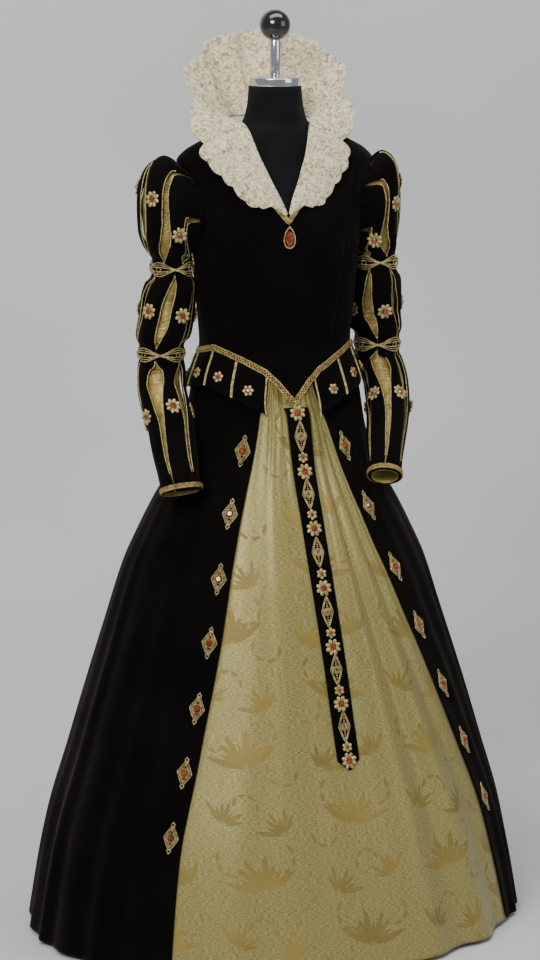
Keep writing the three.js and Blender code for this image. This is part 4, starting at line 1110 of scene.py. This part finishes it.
def make_oval(bm, place):
    """A filigree lozenge: two nested outlines, with rings one in another at its middle."""
    for share in (1.0, 0.76):
        wire(bm, place, lozenge(10.5 * share, 26 * share ** 0.5, 1.1, 0.75), 0.8)
    for radius in (6.4, 4.4, 2.4):
        wire(bm, place, ring_line(radius, 1.5), 0.75)
    for end in (-1, 1):
        for k in range(4):
            size = 1.6 - 0.2 * k
            add_bead(bm, place, 0, end * (9.5 + 4.2 * k), 1.5, (size, size, 1.1))


def build_chain():
    bm = bmesh.new()
    heights = [929, 831, 739, 643, 546, 452, 358]
    for z, below in zip(heights, heights[1:] + [None]):
        add_flower(bm, girdle_seat(z), 14.5, 8, 5.0)
        if below:
            stamp(bm, "oval", girdle_seat(z - 0.4 * (z - below)), make_oval)
            add_flower(bm, girdle_seat(z - 0.76 * (z - below)), 9.5, 6, 2.6)
    gilt_piece("gilt_girdle_chain", bm, ["girdle_chain"])


build_chain()

# Brooches on the open edges of the overskirt


def make_brooch(bm, place):
    """A pointed filigree lozenge with a beaded stone in the middle and a loop at each end."""
    for share, thick in ((1.0, 0.9), (0.8, 0.7), (0.62, 0.7)):
        wire(bm, place, lozenge(13.2 * share, 21 * share, 1.1 + 0.3 * (1 - share), 0.8), thick)
    for end in (-1, 1):
        wire(bm, place, ring_line(3.2, 1.2, end * 22.0), 0.95)
        for along, size in ((14.2, 1.5), (17.6, 1.2), (26.6, 1.5)):
            add_bead(bm, place, 0, end * along, 1.7, (size, size, 1.3))
        add_bead(bm, place, end * 12.2, 0, 1.6, (1.4, 1.4, 1.2))
    add_beads(bm, place, ring_line(7.2, 1.8, 0.0, 16), (1.3, 1.3, 1.2))
    add_stone(bm, place, 5.6, 5.6, 1.2, 4.4, 12)


BROOCH_HEIGHTS = [867, 765, 661, 557, 449, 343, 236]


def build_brooches(side, sign, edge):
    bm = bmesh.new()
    line = along_skirt(edge, sign * BROOCH_INSET)
    for z in BROOCH_HEIGHTS:
        spot = lambda across, up, level=z: section_point(line(level + up) + across, level + up, 1.0)
        along = (spot(0, 8) - spot(0, -8)).normalized()
        across = (spot(1, 0) - spot(-1, 0)).normalized()
        out = across.cross(along).normalized()
        stamp(bm, "brooch", seat(spot(0, 0), along.cross(out).normalized(), along, out), make_brooch)
    nodes = [f"brooch_{side}_{i + 1}" for i in range(len(BROOCH_HEIGHTS))]
    gilt_piece(f"gilt_brooches_{side}", bm, nodes)


build_brooches("right", -1, right_edge_at)
build_brooches("left", 1, left_edge_at)

# The sleeves: tables are for an arm on the left, turned over for the right one
# Rings of the upper puff: its points at the body, and away from it on the right and left arm, its depth,
# the gap to the lining and how far the slashes have swung round
PUFF_RINGS = [
    (149.6, 1171.15, 216.6, 216.6, 1171.15, 33.5, 4, 20), (149.4, 1180, 217, 216, 1184.5, 33.8, 4, 20),
    (150.5, 1184, 229, 219, 1206, 41, 6, 8), (151.5, 1184, 239, 222, 1240, 47, 9, -6),
    (152, 1186, 241, 223, 1282, 50, 10, -10), (152.5, 1188, 234, 220, 1324, 52, 11.5, -2),
    (153, 1190, 217, 210, 1352, 51, 11, 13), (153, 1192, 196, 193, 1362, 49, 10, 24),
    (154, 1194, 177, 177, 1343, 48, 7, 28),
]
# The arms' middle lines: height, then across and back on the right arm and on the left one
ARM_LINES = [
    (803, 199, -118, 151, -151), (830, 201, -102, 159, -130), (863, 201, -80, 168, -104),
    (900, 201, -54, 182, -73), (932, 205, -31, 193, -40), (965, 207, -8, 199, -6), (1009, 203, 2, 193, 20),
    (1041, 203, 2, 193, 20), (1075, 196, 2, 188, 26), (1110, 191, 2, 186, 19), (1155, 183.1, 0, 183.1, 0),
    (1171, 183.1, 0, 183.1, 0),
]
# Rings of the middle stretch: height, radius and gap to the lining
MIDDLE_RINGS = [
    (1025.15, 37.5, 4.4), (1038.5, 37.8, 5.2), (1052, 43, 7), (1075, 45.5, 8),
    (1110, 45.5, 8), (1142, 41, 8), (1158, 33.8, 5.8), (1170.85, 33.5, 4),
]
# Rings of the lower stretch: share of the way up from the cuff, radius right and left, gap to the lining
LOWER_RINGS = [
    (0, 33.5, 27.5, 4.4), (0.125, 34, 29, 4.4), (0.27, 36, 32, 4.8), (0.44, 38, 34.5, 6), (0.58, 40, 36.5, 7),
    (0.73, 41, 38, 7), (0.86, 40, 38, 8), (0.94, 37.8, 37.8, 6.2), (1, 37.5, 37.5, 4.4),
]
CUFF_HEIGHTS = {"right": 803, "left": 815}
LOWER_TOP = 1024.85
# The slashes: how many, where the first pane starts, how far they lean, their width from the foot of the
# stretch to its head, and how high the flowers sit
SLASHES = {
    "upper": dict(
        count=6, right=-70, left=-90, lean=0, flower=0.575, widths=[0, 2, 15, 21, 23, 23, 18, 12, 0],
    ),
    "middle": dict(
        count=5, right=-73, left=-119, lean=14, flower=0.514, widths=[0, 2, 12, 19, 19, 12, 2, 0],
    ),
    "lower": dict(
        count=5, right=-56, left=-106, lean=0, flower=0.45, widths=[0, 4, 8, 11, 20, 33, 22, 3, 0],
    ),
}
# How many panes the front half and the back half have
HALVES = {"upper": (3, 3), "middle": (3, 2), "lower": (3, 2)}
BANDS = {"upper": 1171, "lower": 1025}
LEVEL_REACH = 30
WRIST_SHARE = 0.022
puff_at = [by_number(column) for column in zip(*PUFF_RINGS)]
puff_turn = by_number([ring[7] for ring in PUFF_RINGS], False)
LAST_PUFF = len(PUFF_RINGS) - 1
arm_at = {side: (follow(ARM_LINES, k), follow(ARM_LINES, k + 1)) for k, side in ((1, "right"), (3, "left"))}
middle_height = by_number([ring[0] for ring in MIDDLE_RINGS])
middle_at = follow(MIDDLE_RINGS, 1), follow(MIDDLE_RINGS, 2)
lower_share = by_number([ring[0] for ring in LOWER_RINGS])
lower_at = {"right": follow(LOWER_RINGS, 1), "left": follow(LOWER_RINGS, 2)}
lower_gap = follow(LOWER_RINGS, 3)


def ring_of_arm(side, stretch, t):
    """Height, radius and lining gap of the middle or lower stretch, t of the way up it."""
    if stretch == "middle":
        z = middle_height(t * (len(MIDDLE_RINGS) - 1))
        return z, middle_at[0](z), middle_at[1](z)
    share = lower_share(t * (len(LOWER_RINGS) - 1))
    return mix(CUFF_HEIGHTS[side], LOWER_TOP, share), lower_at[side](share), lower_gap(share)


def arm_centre(side, z):
    x_at, y_at = arm_at[side]
    return Vector((x_at(z), y_at(z), z))


def arm_axes(side, z):
    nearest = min(abs(z - level) for level in BANDS.values())
    tilt = ease((nearest - LEVEL_REACH + 14) / 22)
    leaning = (arm_centre(side, z + 12) - arm_centre(side, z - 12)).normalized()
    up = Vector((0, 0, 1)).lerp(leaning, tilt).normalized()
    across = (Vector((1, 0, 0)) - up * up.x).normalized()
    return across, up.cross(across)


def sleeve_point(side, stretch, t, angle, out):
    """A point of the sleeve on the left side of the body: t goes up the stretch, 0 degrees faces outwards."""
    turn = radians(angle)
    if stretch == "upper":
        ring = t * LAST_PUFF
        inner = Vector((puff_at[0](ring), 0, puff_at[1](ring)))
        outer = Vector((puff_at[2 + (side == "left")](ring), 0, puff_at[4](ring)))
        across = (outer - inner).normalized()
        radius = (outer - inner).length / 2 + out
        depth = puff_at[5](ring) + out
        point = (inner + outer) / 2 + across * radius * cos(turn)
        point.y += depth * sin(turn)
        on_body = ease(ring - (LAST_PUFF - 1))
        if on_body > 0:
            reach = back_at(point.z) if point.y > 0 else front_at(point.z)
            body = side_at(point.z) * sqrt(max(1 - (point.y / reach) ** 2, 0)) + 2.2
            point.x = mix(point.x, body, on_body)
        return point
    z, radius, _ = ring_of_arm(side, stretch, t)
    across, back = arm_axes(side, z)
    radius += out
    return arm_centre(side, z) + across * radius * cos(turn) + back * radius * sin(turn)


def lining_gap(side, stretch, t):
    if stretch == "upper":
        return puff_at[6](t * LAST_PUFF)
    return ring_of_arm(side, stretch, t)[2]


def turned_over(side, point):
    return Vector((-point.x, point.y, point.z)) if side == "right" else point


def pane_point(side, stretch, index):
    """One pane between two slashes, puffed in the middle and gathered at both ends."""
    style = SLASHES[stretch]
    pitch = 360 / style["count"]
    width_at = by_number(style["widths"])
    last = len(style["widths"]) - 1

    def point(u, v):
        share = u if side == "left" else 1 - u
        lean = style["lean"] * (1 - 2 * v)
        if stretch == "upper":
            lean += puff_turn(v * last)
        if stretch == "lower":
            lean += 8 * sin(5.6 * v + 0.6) * ease(min(v, 1 - v) / 0.2)
        radius = (sleeve_point(side, stretch, v, 0, 0) - sleeve_point(side, stretch, v, 180, 0)).length / 2
        per_mm = 180 / (pi * max(radius, 20))
        half = max(width_at(v * last) / 2, 0.8)
        start = style[side] + lean + index * pitch
        angle = mix(start + half * per_mm, start + pitch - half * per_mm, share)
        ends = min(v, 1 - v)
        puff = 3.2 * sin(pi * share) * ease(ends / 0.3)
        gather = 1.3 * exp(-ends / 0.09) * sin(angle * 0.33 + 2 * ripple(angle / 20, index))
        drape = 1.4 * ripple(angle / 16, v * 5, index + 3 * (side == "left")) * ease(ends / 0.15)
        near_edge = exp(-((share / 0.06) ** 2)) + exp(-(((1 - share) / 0.06) ** 2))
        curl = -2.2 * near_edge * ease(ends / 0.12)
        out = puff + drape + curl + gather * min(1, ends / 0.02)
        return turned_over(side, sleeve_point(side, stretch, v, angle, out))

    return point


def build_stretch(side, stretch, trim):
    style = SLASHES[stretch]
    end = 0.8 / (len(style["widths"]) - 1)
    first = 0
    for half, count in zip(("front", "back"), HALVES[stretch]):
        bm = bmesh.new()
        points = [pane_point(side, stretch, index) for index in range(first, first + count)]
        cut = add_panels(bm, 18, 44, points)
        for point in points:
            for u in (0.0, 1.0):
                add_edge_cord(trim, point, u, [mix(end, 1 - end, i / 44) for i in range(45)], 0.7, 1.0, 0.01)
            add_flower(trim, seat(*surface_frame(point, 0.5, style["flower"])), 14.5, 8, 4.6)
        first += count
        node = f"sleeve_{stretch}_{half}_{side}"
        add_sheet(f"velvet_{node}", bm, VELVET, [node], SLEEVE_WALL, cut)


def lining_point(side):
    spans = [("lower", 0.0, 0.42), ("middle", 0.42, 0.66), ("upper", 0.66, 1.0)]

    def point(u, v):
        stretch, low, high = next(span for span in spans if min(v, 1) <= span[2])
        t = min((v - low) / (high - low), 1)
        angle = 360 * u if side == "left" else -360 * u
        ends = min(t, 1 - t)
        crease = 1.8 * ripple(angle / 38, t * 9, 2 + (side == "left")) + 1.0 * ripple(angle / 17, t * 22, 6)
        out = -lining_gap(side, stretch, t) * 0.85 + crease * ease(ends / 0.12) - 0.6
        return turned_over(side, sleeve_point(side, stretch, t, angle, out))

    return point


def build_band(side, level, radius, phase):
    """Gilt lace round the arm: wires that swell into lozenges and cross between them."""
    bm = bmesh.new()
    centre = turned_over(side, arm_centre(side, BANDS[level]))
    count = 168
    turns = [FULL_TURN * i / count for i in range(count)]
    normals = [Vector((cos(t), sin(t), 0)) for t in turns]
    for share in (-1, -0.66, -0.33, 0.33, 0.66, 1):
        line = []
        for normal, t in zip(normals, turns):
            swell = 0.5 - 0.5 * cos(4 * t + phase)
            crossing = share if (4 * t + phase) % (2 * FULL_TURN) < FULL_TURN else -share
            up = Vector((0, 0, crossing * (1.2 + 10.6 * swell ** 0.8)))
            line.append(centre + normal * (radius + 0.5 * cos(20 * t)) + up)
        add_strand(bm, line, normals, 0.95, 5, True)
    for k in range(4):
        t = (FULL_TURN * (k + 0.5) - phase) / 4
        out, up = Vector((cos(t), sin(t), 0)), Vector((0, 0, 1))
        place = seat(centre + out * radius, up.cross(out), up, out)
        add_beads(bm, place, ring_line(4.2, 0.6, 0.0, 7), (1.5, 1.5, 1.1))
    gilt_piece(f"gilt_lace_band_{level}_{side}", bm, [f"sleeve_band_{level}_{side}"])


def build_sleeve(side):
    trim = bmesh.new()
    for stretch in SLASHES:
        build_stretch(side, stretch, trim)
    gilt_piece(f"sleeve_trim_{side}", trim, [])
    cloth(
        f"satin_undersleeve_{side}", 64, 200, lining_point(side), SATIN, "satin", [f"undersleeve_{side}"],
        SATIN_WALL, "gathered", closed=True,
    )
    build_band(side, "upper", 38.0, 0.4)
    build_band(side, "lower", 41.2, 1.1)
    wrist = [sleeve_point(side, "lower", WRIST_SHARE, 360 * i / 90, 1.6) for i in range(90)]
    hub = arm_centre(side, CUFF_HEIGHTS[side] + 5)
    outs = [turned_over(side, point - hub).normalized() for point in wrist]
    path = [turned_over(side, point) for point in wrist]
    braid_piece(f"gilt_braid_cuff_{side}", f"cuff_braid_{side}", path, outs, 4.5, True, 6.0)


build_sleeve("right")
build_sleeve("left")

# The stage: a pale floor that runs up into a wall, soft light, and the camera


PAPER_HALF_WIDTH, PAPER_FRONT, PAPER_BEND, BEND_RADIUS, PAPER_TOP = 5.5, -3.2, 1.4, 1.2, 5.0


def build_stage():
    f = Finish("pale_studio_paper")
    cloudy = f.noise(1.2, 2.0)
    f.set(Base_Color=f.ramp(cloudy, (0.60, 0.60, 0.61), (0.66, 0.66, 0.67), 0.3, 0.7), Roughness=0.9)
    bm = bmesh.new()
    bend = [(BEND_RADIUS * sin(t), BEND_RADIUS * (1 - cos(t)))
            for t in [pi / 2 * i / 12 for i in range(13)]]
    profile = [(PAPER_FRONT, 0.0)] + [(PAPER_BEND + y, z) for y, z in bend]
    profile.append((PAPER_BEND + BEND_RADIUS, PAPER_TOP))
    verts = [bm.verts.new((-PAPER_HALF_WIDTH, y, z)) for y, z in profile]
    edges = [bm.edges.new(pair) for pair in zip(verts, verts[1:])]
    made = bmesh.ops.extrude_edge_only(bm, edges=edges)
    moved = [item for item in made["geom"] if isinstance(item, bmesh.types.BMVert)]
    bmesh.ops.translate(bm, verts=moved, vec=(2 * PAPER_HALF_WIDTH, 0, 0))
    bmesh.ops.recalc_face_normals(bm, faces=bm.faces)
    finish_mesh("studio_paper", bm, [f.material])


build_stage()


def add_light(name, place, target, size, power, colour):
    light = bpy.data.lights.new(name, "AREA")
    light.shape = "RECTANGLE"
    light.size, light.size_y = size
    light.energy = power
    light.color = colour
    lamp = add_object(name, light)
    lamp.location = place
    lamp.rotation_euler = (Vector(target) - Vector(place)).to_track_quat("-Z", "Y").to_euler()


add_light("key_light", (-2.6, -3.4, 3.4), (0, 0, 0.9), (2.0, 1.4), 165, (1.0, 0.98, 0.95))
add_light("fill_light", (3.2, -3.0, 2.2), (0, 0, 0.8), (2.4, 2.4), 34, (0.96, 0.98, 1.0))
add_light("wall_light", (0.0, -0.5, 4.2), (0, 2.0, 1.4), (4.0, 1.5), 100, (1.0, 1.0, 1.0))

world = bpy.data.worlds.new("studio_room")
bpy.context.scene.world = world
world.use_nodes = True
backdrop = world.node_tree.nodes["Background"]
backdrop.inputs[0].default_value = (0.75, 0.77, 0.80, 1.0)
backdrop.inputs[1].default_value = 0.38

# The camera's turn to the wearer's right, its tilt down, its distance and height in metres, and its lens
VIEW_TURN, VIEW_DROP = radians(16.5), radians(10.85)
VIEW_DISTANCE, VIEW_HEIGHT, LENS = 5, 1.75, 109.16
camera_data = bpy.data.cameras.new("camera")
camera_data.sensor_width = 36
camera_data.lens = LENS
camera_data.shift_x = -5 / 960
camera = add_object("camera", camera_data)
camera.location = (-VIEW_DISTANCE * sin(VIEW_TURN), -VIEW_DISTANCE * cos(VIEW_TURN), VIEW_HEIGHT)
camera.rotation_euler = Euler((pi / 2 - VIEW_DROP, 0, -VIEW_TURN))
bpy.context.scene.camera = camera
